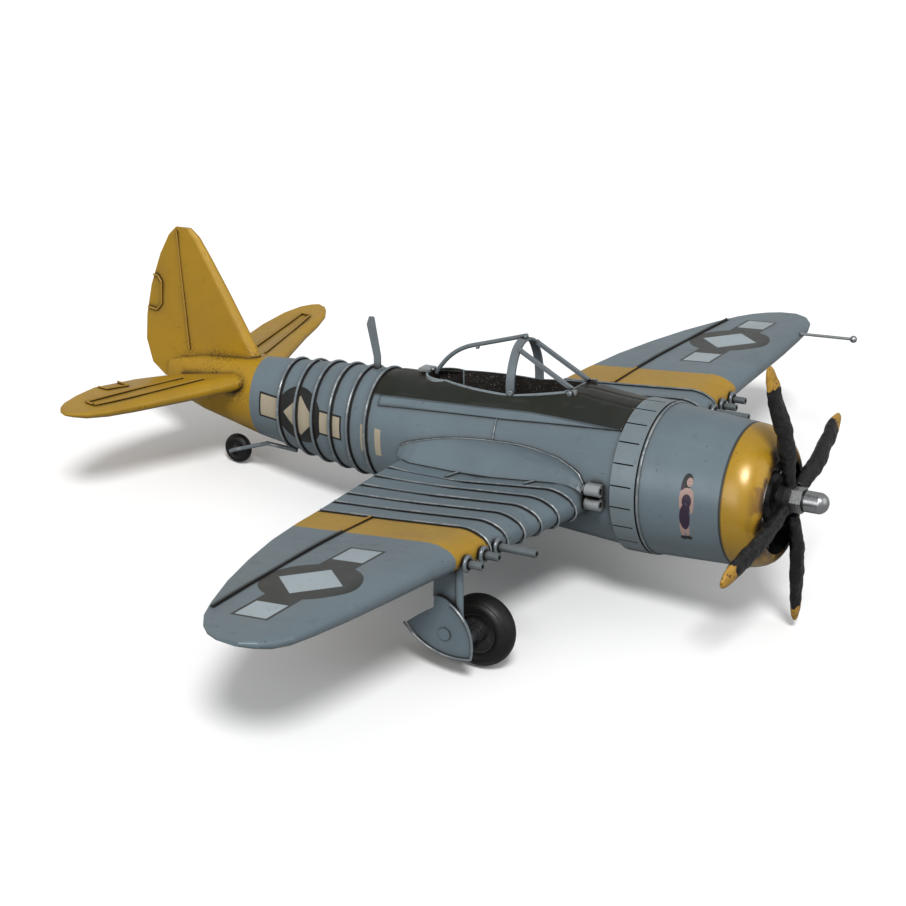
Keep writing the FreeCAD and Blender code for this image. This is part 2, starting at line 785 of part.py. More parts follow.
def rib_wire(x, side):
    """Wire along the top of the wing that turns down round its nose."""
    gauge = size("trim_radius")
    _, lead, trail, nose_mid, radius, _, sag = station_at("wing", x)
    reach, front, rear = radius + gauge, lead - gauge, trail - 0.8
    middle = (lead + NOSE * radius + trail) / 2

    def nose(aft, up):
        return (front + aft * reach, nose_mid + up * reach)

    low_aft, low_up = NOSE_CURVE[1]
    start = (rear, foil_face("wing", x, rear) + gauge)
    middle = (middle, foil_face("wing", x, middle) + gauge)
    heading = (middle[0] - start[0], middle[1] - start[1] - 2 * sag)
    stops = [middle, nose(NOSE, 1), nose(low_aft, low_up), nose(0, 0), nose(low_aft, -low_up), nose(NOSE, -1)]
    return wire("Rib", "YZ_Plane", side * x, start, tangent_arcs(start, heading, stops), "trim_radius")


def surface_wire(side, start, end, table="wing"):
    """Wire laid on the top of a lofted surface between two places in plan."""
    run, drift = end[0] - start[0], end[1] - start[1]
    length = math.hypot(run, drift)
    count = max(1, int(length / 24))
    spots = []
    for step in range(count + 1):
        share = step / count
        height = foil_face(table, start[0] + share * run, start[1] + share * drift)
        spots.append((side * share * length, height + size("trim_radius")))
    made = doc.addObject("PartDesign::Body", "SurfaceWire")
    place(made, V(side * start[0], start[1], 0),
          FreeCAD.Rotation(V(0, 0, 1), side * math.degrees(math.atan2(drift, run))))
    heading = (spots[1][0] - spots[0][0], spots[1][1] - spots[0][1])
    path = outline(sketch_on(made, "XZ_Plane"), spots[0], tangent_arcs(spots[0], heading, spots[1:]))
    return sweep(made, path, "trim_radius")


def build_fairing(name, side, fuselage_form, wing_form):
    """Hollow fillet panel from its curved upper edge on the fuselage side to the innermost wing rib."""
    body = new_body("Fairing")
    sections = []
    for y, edge, foot in TABLES["fairing"][1]:
        _, mid, tall, wide = station_at("fuselage", y)
        flank = wide * math.sqrt(1 - ((edge - mid) / tall) ** 2) + 0.5
        low = min(foil_face("wing", foot, min(y, 136.0)) + 0.4, edge - 0.6)
        run, drop = foot - flank, edge - low
        hollow = (flank + run / 2 - 0.12 * drop, edge - drop / 2 - 0.12 * run)
        sketch = sketch_on(body, "XZ_Plane", -y)
        outline(sketch, (side * (flank - 2.1), edge), [
            ((side * flank, edge),),
            ((side * hollow[0], hollow[1]), (side * foot, low)),
            ((side * foot, low - 1.1),),
            ((side * (flank - 2.1), low - 1.1),),
            ((side * (flank - 2.1), edge),),
        ])
        sections.append(sketch)
    loft(body, sections)
    trimmed = cut("FairingTrim", body, fuselage_form)
    node(cut("FairingCut", trimmed, wing_form), "root_fairing_" + name)


def build_guns(name, side):
    """Three barrels ahead of the leading edge, each through a wire collar."""
    barrels, collars = [], []
    for row in rows_of("gun"):
        x, muzzle = size("gun_x_%d" % row), size("gun_muzzle_%d" % row)
        lead = station_at("wing", x)[1]
        barrel = new_body("Barrel")
        face = sketch_on(barrel, "XZ_Plane", "- gun_muzzle_%d" % row)
        circle(face, "gun_radius", mirrored(x, side), "gun_height")
        feature(barrel, "Pad", face, Length=lead - muzzle, Reversed=True)
        mouth = sketch_on(barrel, "XZ_Plane", "- gun_muzzle_%d" % row)
        circle(mouth, "gun_bore_radius", mirrored(x, side), "gun_height")
        doc.recompute()
        feature(barrel, "Pocket", mouth, Length=3.0)
        barrels.append(barrel)
        collar = doc.addObject("Part::Torus", "Collar")
        bind(collar, "Radius1", "gun_radius + collar_radius")
        bind(collar, "Radius2", "collar_radius")
        place(collar, V(side * x, lead - 0.8, size("gun_height")), FreeCAD.Rotation(V(1, 0, 0), 90))
        collars.append(collar)
    node(group("Barrels", barrels), "gun_barrels_" + name)
    return group("Collars", collars)


def build_root_fittings(name, side):
    """Two short bored knuckles stacked on the fuselage side ahead of the wing root."""
    blocks = []
    inner, outer = 25.6, 29.8
    for low in (-5.9, -1.0):
        block = new_body("Block")
        face = sketch_on(block, "XZ_Plane", -57.0)
        outline(face, (side * inner, low), [
            ((side * (outer - 2.1), low),),
            ((side * outer, low + 2.1), (side * (outer - 2.1), low + 4.2)),
            ((side * inner, low + 4.2),),
            ((side * inner, low),),
        ])
        feature(block, "Pad", face, Length=5.5, Reversed=True)
        mouth = sketch_on(block, "XZ_Plane", -57.0)
        circle(mouth, 1.1, side * (inner + outer) / 2, low + 2.1)
        doc.recompute()
        feature(block, "Pocket", mouth, Length=3.0)
        blocks.append(block)
    return group("Blocks", blocks)


def build_pitot():
    """Thin tube with a ball end on the port leading edge, near the tip."""
    lead = station_at("wing", 183.0)[1]
    tube = wire("PitotTube", "YZ_Plane", 183, (lead - 0.1, 3.9), [((49.0, 4.6),)], 0.6)
    ball = doc.addObject("Part::Sphere", "PitotBall")
    ball.Radius = 1.5
    place(ball, V(183, 48.6, 4.6))
    joined = doc.addObject("Part::Fuse", "PitotFuse")
    joined.Base, joined.Tool = tube, ball
    node(joined, "pitot_tube")


def build_tail(fuselage_form, tail_form):
    fin_form = new_body("FinForm")
    loft(fin_form, foil_sections(fin_form, "fin", "XY_Plane", across=True))
    fin = new_body("Fin")
    loft(fin, foil_sections(fin, "fin", "XY_Plane", across=True))
    loft(fin, foil_sections(fin, "fin", "XY_Plane", rows=range(1, 7), hollow=True, across=True), cut=True)
    node(cut("FinCut", fin, tail_form), "fin_and_rudder")

    gauge = size("trim_radius")
    wires = []
    for side in (1, -1):
        top, foot = V(side * (0.56 + gauge), 251.0, 65.4), V(side * (1.1 + gauge), 246.8, 19.6)
        hinge = cylinder("RudderHinge", "trim_radius", top.sub(foot).Length, foot, top.sub(foot))
        tab = wire("RudderTab", "YZ_Plane", side * (0.62 + gauge), (262.6, 47.1), [
            ((260.6, 47.0),),
            ((259.0, 44.6),),
            ((259.4, 36.0),),
            ((261.7, 33.4),),
            ((265.8, 34.0),),
        ], "trim_radius")
        wires += [hinge, tab]
    node(group("FinWires", wires), "fin_wires")

    for name, side in SIDES:
        table = "stabilizer_" + name
        shell = new_body("Stabilizer")
        loft(shell, foil_sections(shell, table, "YZ_Plane", side))
        hollow = foil_sections(shell, table, "YZ_Plane", side, rows=range(1, 5), hollow=True)
        loft(shell, hollow, cut=True)
        trimmed = cut("StabTrim", cut("StabRoot", shell, tail_form), fin_form)
        node(cut("StabCut", trimmed, fuselage_form), table)
        pieces = [surface_wire(side, start, end, table) for start, end in (
            ((20.5, 236.4), (70.5, 242.8)), ((20.5, 227.0), (70.8, 239.0)), ((70.8, 239.6), (70.5, 242.4)))]
        if side < 0:
            pieces.append(trim_tab_wire(side, table))
        node(group("StabWires", pieces), "stabilizer_wires_" + name)


def trim_tab_wire(side, table):
    """Three-sided loop bent in the plane of the stabilizer's upper face, at its trailing edge."""
    x, y = 47.5, 247.5
    across = (foil_face(table, x + 6, y) - foil_face(table, x - 6, y)) / 12
    along = (foil_face(table, x, y + 2.5) - foil_face(table, x, y - 2.5)) / 5
    made = doc.addObject("PartDesign::Body", "TabWire")
    place(made, V(side * x, y, foil_face(table, x, y) + size("trim_radius")),
          FreeCAD.Rotation(V(0, 0, 1), V(-side * across, -along, 1)))
    points = [(side * (a - x), b - y) for a, b in ((53.6, 250.4), (53.4, 246.6), (43.0, 244.8), (41.6, 250.6))]
    path = outline(sketch_on(made, "XY_Plane"), points[0], [(spot,) for spot in points[1:]])
    return sweep(made, path, "trim_radius")


# ---------------------------------------------------------------- small fuselage fittings


def build_hoops():
    """Wires bent round the rear fuselage and soldered to its skin."""
    hoops = []
    for number in range(int(size("hoop_count"))):
        y = size("hoop_first_y") + number * size("hoop_pitch")
        _, mid, tall, wide = station_at("fuselage", y)
        gauge = size("wire_radius")
        hoop = new_body("Hoop")
        path = ellipse(sketch_on(hoop, "XZ_Plane", -y), mid, tall + gauge, wide + gauge)
        hoops.append(sweep(hoop, path, "wire_radius"))
    node(group("HoopSet", hoops), "fuselage_hoops")


def strip_body(name, role, offset, start, edges, width):
    """Flat strip: its outline in one plane, padded to both sides."""
    body = new_body(name)
    face = outline(sketch_on(body, role, offset), start, edges)
    feature(body, "Pad", face, Length=width, Midplane=True)
    return body


def build_canopy():
    """Open canopy frame: a bent strip arch, a spine wire, two struts and their lugs."""
    arch = new_body("Arch")
    face = sketch_on(arch, "XZ_Plane", "- hoop_arch_y")
    foot, half, gauge = size("arch_foot") + 0.1, size("arch_half_width"), size("arch_thickness")
    top = foot + size("arch_rise")

    def corner(reach, height, out, up):
        return (reach * out, foot + (height - foot) * up)

    inner, inner_top = half - gauge, top - gauge
    outline(face, (-half, foot), [
        (corner(half, top, -0.93, 0.42), corner(half, top, -0.70, 0.74)),
        ((0.0, top), corner(half, top, 0.70, 0.74)),
        (corner(half, top, 0.93, 0.42), (half, foot)),
        ((inner, foot),),
        (corner(inner, inner_top, 0.93, 0.42), corner(inner, inner_top, 0.70, 0.74)),
        ((0.0, inner_top), corner(inner, inner_top, -0.70, 0.74)),
        (corner(inner, inner_top, -0.93, 0.42), (-inner, foot)),
        ((-half, foot),),
    ])
    feature(arch, "Pad", face, Length="arch_strip", Midplane=True)
    node(arch, "canopy_arch")

    start = (137.9, 25.2)
    bends = tangent_arcs(start, (-0.55, 0.83), [(134.7, 29.5), (130.2, 33.7), (122.4, 37.5),
                                                (size("hoop_arch_y") - 0.7, top + 0.8)])
    node(wire("Spine", "YZ_Plane", 0, start, bends, 0.8), "canopy_spine")

    arch_face = size("hoop_arch_y") - size("arch_strip") / 2
    struts, lugs = [], []
    for name, side in SIDES:
        struts.append(strip_body("Strut", "YZ_Plane", side * 6.3, (79.0, 29.4), [
            ((79.6, 28.4),),
            ((arch_face, 39.4),),
            ((arch_face, 40.7),),
            ((79.0, 29.4),),
        ], 1.8))
        lugs.append(strip_body("Lug", "YZ_Plane", side * 7.8, (76.6, 29.2), [
            ((76.6, 24.2),),
            ((81.2, 24.2),),
            ((81.2, 28.6),),
            ((76.6, 29.2),),
        ], 1.0))
    node(group("Struts", struts), "windscreen_struts")
    lugs.append(strip_body("RearLug", "XZ_Plane", -141.6, (-2.6, 25.55), [
        ((2.6, 25.55),),
        ((2.6, 26.7),),
        ((-2.6, 26.7),),
        ((-2.6, 25.55),),
    ], 4.6))
    node(group("Lugs", lugs), "canopy_lugs")


def build_mast():
    """Flat aerial blade that leans aft behind the cockpit."""
    foot = 23.45
    blade = strip_body("Mast", "YZ_Plane", 0, (161.6, foot), [
        ((164.3, foot),),
        ((164.3, 27.6),),
        ((167.1, 39.6),),
        ((166.0, 42.6),),
        ((164.2, 42.6),),
        ((161.6, 28.2),),
        ((161.6, foot),),
    ], 0.9)
    node(blade, "antenna_mast")


# ---------------------------------------------------------------- landing gear


def tyre_section(sketch, radius, width, rim):
    """Half section of a tyre on its hub, drawn with the axle along the sketch's first axis."""
    half = size(width) / 2
    shoulder, crown, edge = half * 0.74, size(radius), size(radius) - half * 0.3
    return outline(sketch, (-shoulder, rim), [
        ((-half, (size(rim) + edge) / 2), (-shoulder, edge)),
        ((0.0, crown), (shoulder, edge)),
        ((half, (size(rim) + edge) / 2), (shoulder, rim)),
        ((-shoulder, rim),),
    ])


def build_wheel(name, at, radius, width, rim, axle):
    tyre = doc.addObject("PartDesign::Body", "Tyre")
    place(tyre, at)
    revolve(tyre, tyre_section(sketch_on(tyre, "XY_Plane"), radius, width, rim), "X_Axis")
    node(tyre, name + "_tyre")

    hub = doc.addObject("PartDesign::Body", "WheelHub")
    place(hub, at)
    bore = size(axle) + size("wheel_clearance")
    reach = size(width) / 2 * 0.74
    dish = reach * 0.45
    boss = bore + 0.22 * size(rim)
    foot = boss + 0.08 * size(rim)
    lip = size(rim) - 0.12 * size(rim)
    edge = size(rim) - 0.07 * size(rim)
    section = outline(sketch_on(hub, "XY_Plane"), (-reach, bore), [
        ((-reach, boss),),
        ((-dish, foot),),
        ((-dish, lip),),
        ((-reach, edge),),
        ((-reach, size(rim)),),
        ((reach, size(rim)),),
        ((reach, edge),),
        ((dish, lip),),
        ((dish, foot),),
        ((reach, boss),),
        ((reach, bore),),
        ((-reach, bore),),
    ])
    revolve(hub, section, "X_Axis")
    node(hub, name + "_hub")


def build_main_gear(name, side):
    gear_x, gear_y, drop = size("gear_x"), size("gear_y"), size("wheel_drop")
    build_wheel("main_wheel_" + name, V(side * size("wheel_x"), gear_y, -drop),
                "tyre_radius", "tyre_width", "rim_radius", "axle_radius")

    strut = wire("Strut", "YZ_Plane", mirrored("gear_x", side), (gear_y, -drop - 2.6),
                 [((gear_y, foil_face("wing", gear_x, gear_y - 1.3, -1) + 0.1),)], "strut_radius")
    node(strut, "gear_strut_" + name)

    axle = doc.addObject("PartDesign::Body", "Axle")
    place(axle, V(0, gear_y, -drop))
    reach = size("tyre_width") / 2 * 0.74 + 0.3
    inner, outer = size("wheel_x") - reach, size("wheel_x") + reach
    stop = gear_x - size("strut_radius")
    section = outline(sketch_on(axle, "XY_Plane"), (side * (inner - 1.4), "0"), [
        ((side * (inner - 1.4), "axle_radius + 1.0"),),
        ((side * inner, "axle_radius + 1.0"),),
        ((side * inner, "axle_radius"),),
        ((side * outer, "axle_radius"),),
        ((side * outer, "axle_radius + 0.9"),),
        ((side * stop, "axle_radius + 0.9"),),
        ((side * stop, "0"),),
        ((side * (inner - 1.4), "0"),),
    ])
    revolve(axle, section, "X_Axis")
    node(axle, "main_axle_" + name)

    fender = new_body("Fender")
    plate = sketch_on(fender, "YZ_Plane", mirrored(gear_x + 1.65, side))
    outline(plate, (79.6, -19.6), [
        ((79.4, -15.6),),
        ((76.4, -15.7), (73.4, -17.3)),
        ((67.3, -23.6), (65.8, -35.2)),
        ((80.6, -34.0), (90.0, -26.6)),
        ((84.6, -22.7), (79.6, -19.6)),
    ])
    feature(fender, "Pad", plate, Length="skin", Midplane=True)
    face = sketch_on(fender, "YZ_Plane", mirrored(gear_x + 1.65, side))
    circle(face, 2.1, 75.6, -28.2)
    doc.recompute()
    feature(fender, "Pad", face, Length=1.4, Midplane=True)
    node(fender, "fender_plate_" + name)

    rim = wire("FenderRim", "YZ_Plane", mirrored(gear_x + 2.35, side), (73.4, -17.3), [
        ((67.3, -23.6), (65.8, -35.2)),
        ((80.6, -34.0), (90.8, -26.6)),
    ], "trim_radius")

    door = new_body("Door")
    panel = sketch_on(door, "YZ_Plane", mirrored(gear_x, side))
    front, rear = gear_y + 1.4, gear_y + 9.2
    hem = foil_face("wing", gear_x, front, -1)
    outline(panel, (front, hem), [
        ((rear, foil_face("wing", gear_x, rear, -1)),),
        ((rear + 0.5, -16.6),),
        ((front, -18.6),),
        ((front, hem),),
    ])
    feature(door, "Pad", panel, Length="skin", Midplane=True)
    return rim, door


def build_tail_wheel():
    at = V(0, size("tail_wheel_y"), -size("tail_wheel_drop"))
    build_wheel("tail_wheel", at, "tail_tyre_radius", "tail_tyre_width", "tail_rim_radius",
                "tail_axle_radius")
    drop = size("tail_wheel_drop")
    arm = wire("TailArm", "YZ_Plane", -3.1, (197.5, -13.0), [
        ((204.0, -12.6),),
        ((210.9, -12.2),),
        (("tail_wheel_y", -drop),),
        ((228.2, -drop - 0.8),),
    ], 0.8)
    node(arm, "tail_wheel_arm")
    axle = doc.addObject("PartDesign::Body", "TailAxle")
    place(axle, at)
    section = outline(sketch_on(axle, "XY_Plane"), (-2.3, "0"), [
        ((-2.3, "tail_axle_radius"),),
        ((1.7, "tail_axle_radius"),),
        ((1.7, "tail_axle_radius + 0.7"),),
        ((2.6, "tail_axle_radius + 0.7"),),
        ((2.6, "0"),),
        ((-2.3, "0"),),
    ])
    revolve(axle, section, "X_Axis")
    node(axle, "tail_axle")


# ---------------------------------------------------------------- build, check and write


def build_all():
    form, tail_form = build_fuselage()
    build_coaming()
    build_cowl()
    build_engine()
    build_propeller()
    build_hoops()
    pairs = {"aileron_wires": [], "gun_collars": [], "root_fittings": [], "fender_rim_wires": [],
             "gear_doors": []}
    for name, side in SIDES:
        wing_form, aileron_wire = build_wing(name, side, form)
        build_fairing(name, side, form, wing_form)
        pairs["aileron_wires"].append(aileron_wire)
        pairs["gun_collars"].append(build_guns(name, side))
        pairs["root_fittings"].append(build_root_fittings(name, side))
        rim, door = build_main_gear(name, side)
        pairs["fender_rim_wires"].append(rim)
        pairs["gear_doors"].append(door)
        if side > 0:
            build_pitot()
    for label, pieces in pairs.items():
        node(group("Pair", pieces), label)
    build_tail(form, tail_form)
    build_canopy()
    build_mast()
    build_tail_wheel()


def check_and_write():
    doc.recompute()
    for thing in doc.Objects:
        if {"Invalid", "Error"} & set(thing.State):
            raise RuntimeError("%s (%s) failed: %s" % (thing.Name, thing.Label, thing.State))
    for piece in nodes:
        if piece.Shape.isNull() or not piece.Shape.isValid():
            raise RuntimeError(piece.Label + " has no valid shape")
    os.makedirs("parts", exist_ok=True)
    for piece in nodes:
        piece.Shape.exportStep("parts/%s.step" % piece.Label)


build_all()
check_and_write()
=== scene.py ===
import bpy
import bmesh
import json
import math
from mathutils import Matrix, Vector, noise
from mathutils.bvhtree import BVHTree


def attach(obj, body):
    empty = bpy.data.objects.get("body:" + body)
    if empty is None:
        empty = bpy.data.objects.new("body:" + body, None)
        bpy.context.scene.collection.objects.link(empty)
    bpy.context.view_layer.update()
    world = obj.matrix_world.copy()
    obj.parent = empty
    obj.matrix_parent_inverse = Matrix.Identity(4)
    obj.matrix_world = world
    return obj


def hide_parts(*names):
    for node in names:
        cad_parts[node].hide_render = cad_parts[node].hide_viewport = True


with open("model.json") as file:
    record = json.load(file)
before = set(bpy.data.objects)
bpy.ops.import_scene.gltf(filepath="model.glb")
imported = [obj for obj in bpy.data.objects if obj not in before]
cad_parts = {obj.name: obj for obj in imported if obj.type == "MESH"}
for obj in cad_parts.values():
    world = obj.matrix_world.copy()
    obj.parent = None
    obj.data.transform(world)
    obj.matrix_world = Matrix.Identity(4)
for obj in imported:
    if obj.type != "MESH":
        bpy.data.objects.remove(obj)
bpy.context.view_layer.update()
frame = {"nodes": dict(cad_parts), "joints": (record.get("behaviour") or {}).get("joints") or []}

# Sheet-metal desk model of a radial-engined fighter: paint, patina with painted shade, and hand-made detail
# around the CAD frame.
# Work happens in the aircraft's own axes, in millimetres: a to port, b aft of the propeller, c up.

SPIN = [joint for joint in frame["joints"] if joint["name"] == "propeller_spin"][0]
HUB = Vector(SPIN["pos_m"])
AFT = Vector(SPIN["axis"]).normalized()
PORT = Vector((1, 0, 0))
UP = PORT.cross(AFT)
PITCH = math.asin(-AFT.z)
MM = 0.001


def row(a, b, c):
    """A point of the aircraft, in millimetres, as a point of the row frame in metres."""
    return HUB + (PORT * a + AFT * b + UP * c) * MM


def air(point):
    """A point of the row frame as aircraft millimetres."""
    d = (Vector(point) - HUB) / MM
    return Vector((d.dot(PORT), d.dot(AFT), d.dot(UP)))


# ---------------------------------------------------------------- colours (linear)

GREY = (0.125, 0.165, 0.188, 1)
GREY_PALE = (0.20, 0.24, 0.26, 1)
YELLOW = (0.37, 0.212, 0.012, 1)
OLIVE = (0.009, 0.011, 0.007, 1)
# black of the insides of cowl and nose ring: painted shade
INSIDE_SHADE_BLACK = (0.006, 0.006, 0.007, 1)
INK = (0.010, 0.012, 0.012, 1)
CREAM = (0.38, 0.33, 0.24, 1)
WHITE = (0.33, 0.39, 0.42, 1)
BROWN = (0.045, 0.022, 0.009, 1)
# near-black of the crust beside wires and of the drawn shadow lines: partly dirt, partly painted shade
SOOT_AND_SHADE = (0.006, 0.004, 0.003, 1)
STEEL = (0.36, 0.38, 0.39, 1)
SKIN = (0.34, 0.23, 0.20, 1)
VIOLET = (0.030, 0.016, 0.036, 1)
DULLED = (0.040, 0.046, 0.046, 1)
RUBBED = (0.55, 0.58, 0.58, 1)
WING_MARK_DARK = (0.020, 0.023, 0.020, 1)
FLANK_MARK_DARK = (0.006, 0.007, 0.008, 1)
LIP_RUST = (0.16, 0.075, 0.020, 1)
TIP_YELLOW = (0.36, 0.20, 0.028, 1)
TAR = (0.006, 0.005, 0.004, 1)
TAR_RUST = (0.014, 0.008, 0.005, 1)
TAR_FLECK = (0.24, 0.22, 0.20, 1)
METAL_STAIN = (0.12, 0.10, 0.08, 1)

# ---------------------------------------------------------------- places on the aircraft (mm)

# yellow band across each wing, as distances from the centre line
BAND_IN, BAND_OUT = 88.3, 108.2
# aileron hinge wire: inner end, its station there and how it rakes forward per millimetre outwards
HINGE_IN, HINGE_STATION, HINGE_RAKE = 88.8, 111.2, 0.0491
# wires: first place, pitch and number of the wing ribs, and of the hoops round the rear fuselage
RIB_FIRST, RIB_PITCH, RIB_COUNT = 34.5, 10.7, 6
HOOP_FIRST, HOOP_PITCH, HOOP_COUNT = 158.0, 8.0, 6
# marks: middle, disc radius, start and end of the bars, their half height, and the dark trim round them
WING_MARK = ((155.6, 91.3), 16.2, (20.8, 33.6), 6.7, 1.05)
FLANK_MARK = ((188.0, 5.2), 10.4, (9.4, 19.3), 4.7, 0.75)
# the flank marks rise with the fuselage's centre line
FLANK_RISE = 0.078
MARK_SOFT = 0.12
# deck sheet: first station, step and number of stations, and columns from its foot to the rail
DECK_START, DECK_STEP, DECK_STATIONS, DECK_COLUMNS = 54.6, 0.9, 111, 14
# foot of the deck: distance from the centre line and how it narrows aft
FOOT_WIDE, FOOT_TAPER = 16.5, 0.014
DECK_FADE_FORE, DECK_FADE_AFT, DECK_END = 20.0, 10.0, 154.5
DECK_THICK = 0.5
# the closed deck ahead of the opening: half width, columns, and height and drop of its crown
FRONT_HALF, FRONT_COLUMNS, FRONT_TOP, FRONT_DROP = 7.3, 4, 27.9, 0.7
# cockpit opening: its front and back, and half widths between them
OPENING_FRONT, OPENING_BACK, ARCH_STATION = 80.0, 141.0, 101.4
RAIL_WIDTHS = ((OPENING_FRONT, 7.3), (84.0, 8.9), (90.0, 10.6), (ARCH_STATION, 11.4), (112.0, 10.8),
               (122.0, 9.2), (130.0, 7.4), (137.0, 4.6), (OPENING_BACK, 0.5))
# oval sections of the fuselage: station, centre height, half height and half width
OVALS = ((44.4, 0.0, 26.5, 26.4), (60.0, 0.3, 25.6, 25.2), (100.0, 1.2, 23.6, 21.6),
         (150.0, 2.6, 21.2, 18.4), (182.0, 4.0, 18.6, 16.0))
# curved edge of the root panel on the fuselage flank: station and height
PANEL_EDGE = ((64.9, 1.6), (67.0, 4.8), (70.0, 6.5), (76.0, 8.7), (86.0, 10.1), (93.0, 10.4), (100.0, 10.1),
              (107.0, 9.8), (114.0, 9.2), (120.0, 8.4), (126.0, 7.3), (134.0, 5.2), (139.0, 3.6),
              (142.4, 1.8))


class Tree:
    """Node tree of one material, with its place on the aircraft in millimetres at hand."""

    def __init__(self, name):
        self.material = bpy.data.materials.new(name)
        self.material.use_nodes = True
        self.nodes = self.material.node_tree.nodes
        self.links = self.material.node_tree.links
        self.nodes.clear()
        self.bsdf = self.node("BsdfPrincipled")
        out = self.node("OutputMaterial")
        self.links.new(self.bsdf.outputs[0], out.inputs[0])
        self.coords = self.node("TexCoord")
        shift = Matrix.Rotation(PITCH, 3, "X") @ (-HUB) / MM
        mapping = self.node("Mapping")
        mapping.inputs["Location"].default_value = shift
        mapping.inputs["Rotation"].default_value = (PITCH, 0, 0)
        mapping.inputs["Scale"].default_value = (1 / MM, 1 / MM, 1 / MM)
        self.links.new(self.coords.outputs["Object"], mapping.inputs["Vector"])
        self.place = mapping.outputs[0]
        self.a, self.b, self.c = self.split(self.place)
        self.side = self.math("ABSOLUTE", self.a)
        turn = self.node("Mapping")
        turn.vector_type = "NORMAL"
        turn.inputs["Rotation"].default_value = (PITCH, 0, 0)
        self.links.new(self.coords.outputs["Normal"], turn.inputs["Vector"])
        self.na, self.nb, self.nc = self.split(turn.outputs[0])

    def node(self, kind, **values):
        made = self.nodes.new("ShaderNode" + kind)
        for key, value in values.items():
            setattr(made, key, value)
        return made

    def feed(self, socket, value):
        if isinstance(value, bpy.types.NodeSocket):
            self.links.new(value, socket)
        else:
            socket.default_value = value

    def split(self, vector):
        made = self.node("SeparateXYZ")
        self.links.new(vector, made.inputs[0])
        return made.outputs[0], made.outputs[1], made.outputs[2]

    def math(self, operation, first, second=0.0, clamp=False):
        made = self.node("Math", operation=operation, use_clamp=clamp)
        self.feed(made.inputs[0], first)
        self.feed(made.inputs[1], second)
        return made.outputs[0]

    def add(self, first, second):
        return self.math("ADD", first, second)

    def sub(self, first, second):
        return self.math("SUBTRACT", first, second)

    def mul(self, first, second):
        return self.math("MULTIPLY", first, second)

    def both(self, *masks):
        made = masks[0]
        for mask in masks[1:]:
            made = self.math("MULTIPLY", made, mask)
        return made

    def either(self, *masks):
        made = masks[0]
        for mask in masks[1:]:
            made = self.math("MAXIMUM", made, mask)
        return made

    def invert(self, mask):
        return self.math("SUBTRACT", 1.0, mask)

    def step(self, value, low, high, top=1.0):
        """0 at low, top at high, smooth between; low may lie above high."""
        made = self.node("MapRange", interpolation_type="SMOOTHSTEP")
        self.feed(made.inputs["Value"], value)
        made.inputs["From Min"].default_value = low
        made.inputs["From Max"].default_value = high
        made.inputs["To Min"].default_value = 0.0
        made.inputs["To Max"].default_value = top
        return made.outputs[0]

    def band(self, value, low, high, soft=0.12):
        return self.both(self.step(value, low - soft, low + soft), self.step(value, high + soft, high - soft))

    def line(self, value, at, half, soft):
        """1 within half of a value, fading over soft."""
        return self.step(self.math("ABSOLUTE", self.sub(value, at)), half + soft, half)

    def mix(self, mask, first, second):
        made = self.node("Mix", data_type="RGBA")
        self.feed(made.inputs[0], mask)
        self.feed(made.inputs[6], first)
        self.feed(made.inputs[7], second)
        return made.outputs[2]

    def noise(self, scale, detail=3.0, rough=0.55, stretch=None, seed=0.0):
        vector = self.place
        if stretch or seed:
            mapping = self.node("Mapping")
            mapping.inputs["Scale"].default_value = stretch or (1, 1, 1)
            mapping.inputs["Location"].default_value = (seed, seed * 0.7, -seed)
            self.links.new(self.place, mapping.inputs[0])
            vector = mapping.outputs[0]
        made = self.node("TexNoise")
        self.links.new(vector, made.inputs["Vector"])
        made.inputs["Scale"].default_value = scale
        made.inputs["Detail"].default_value = detail
        made.inputs["Roughness"].default_value = rough
        return made.outputs[0]

    def occlusion(self, reach):
        made = self.node("AmbientOcclusion", samples=5)
        made.inputs["Distance"].default_value = reach * MM
        return made.outputs["AO"]

    def bump(self, height, strength, distance):
        made = self.node("Bump")
        made.inputs["Strength"].default_value = strength
        made.inputs["Distance"].default_value = distance * MM
        self.feed(made.inputs["Height"], height)
        return made

    def finish(self, color, rough, normal=None, metallic=0.0, coat=0.0, gloss=0.35):
        self.bsdf.inputs["Specular IOR Level"].default_value = gloss
        self.feed(self.bsdf.inputs["Base Color"], color)
        self.feed(self.bsdf.inputs["Roughness"], rough)
        self.feed(self.bsdf.inputs["Metallic"], metallic)
        if coat:
            self.bsdf.inputs["Coat Weight"].default_value = coat
            self.bsdf.inputs["Coat Roughness"].default_value = 0.25
        if normal:
            self.links.new(normal.outputs[0], self.bsdf.inputs["Normal"])
        return self.material
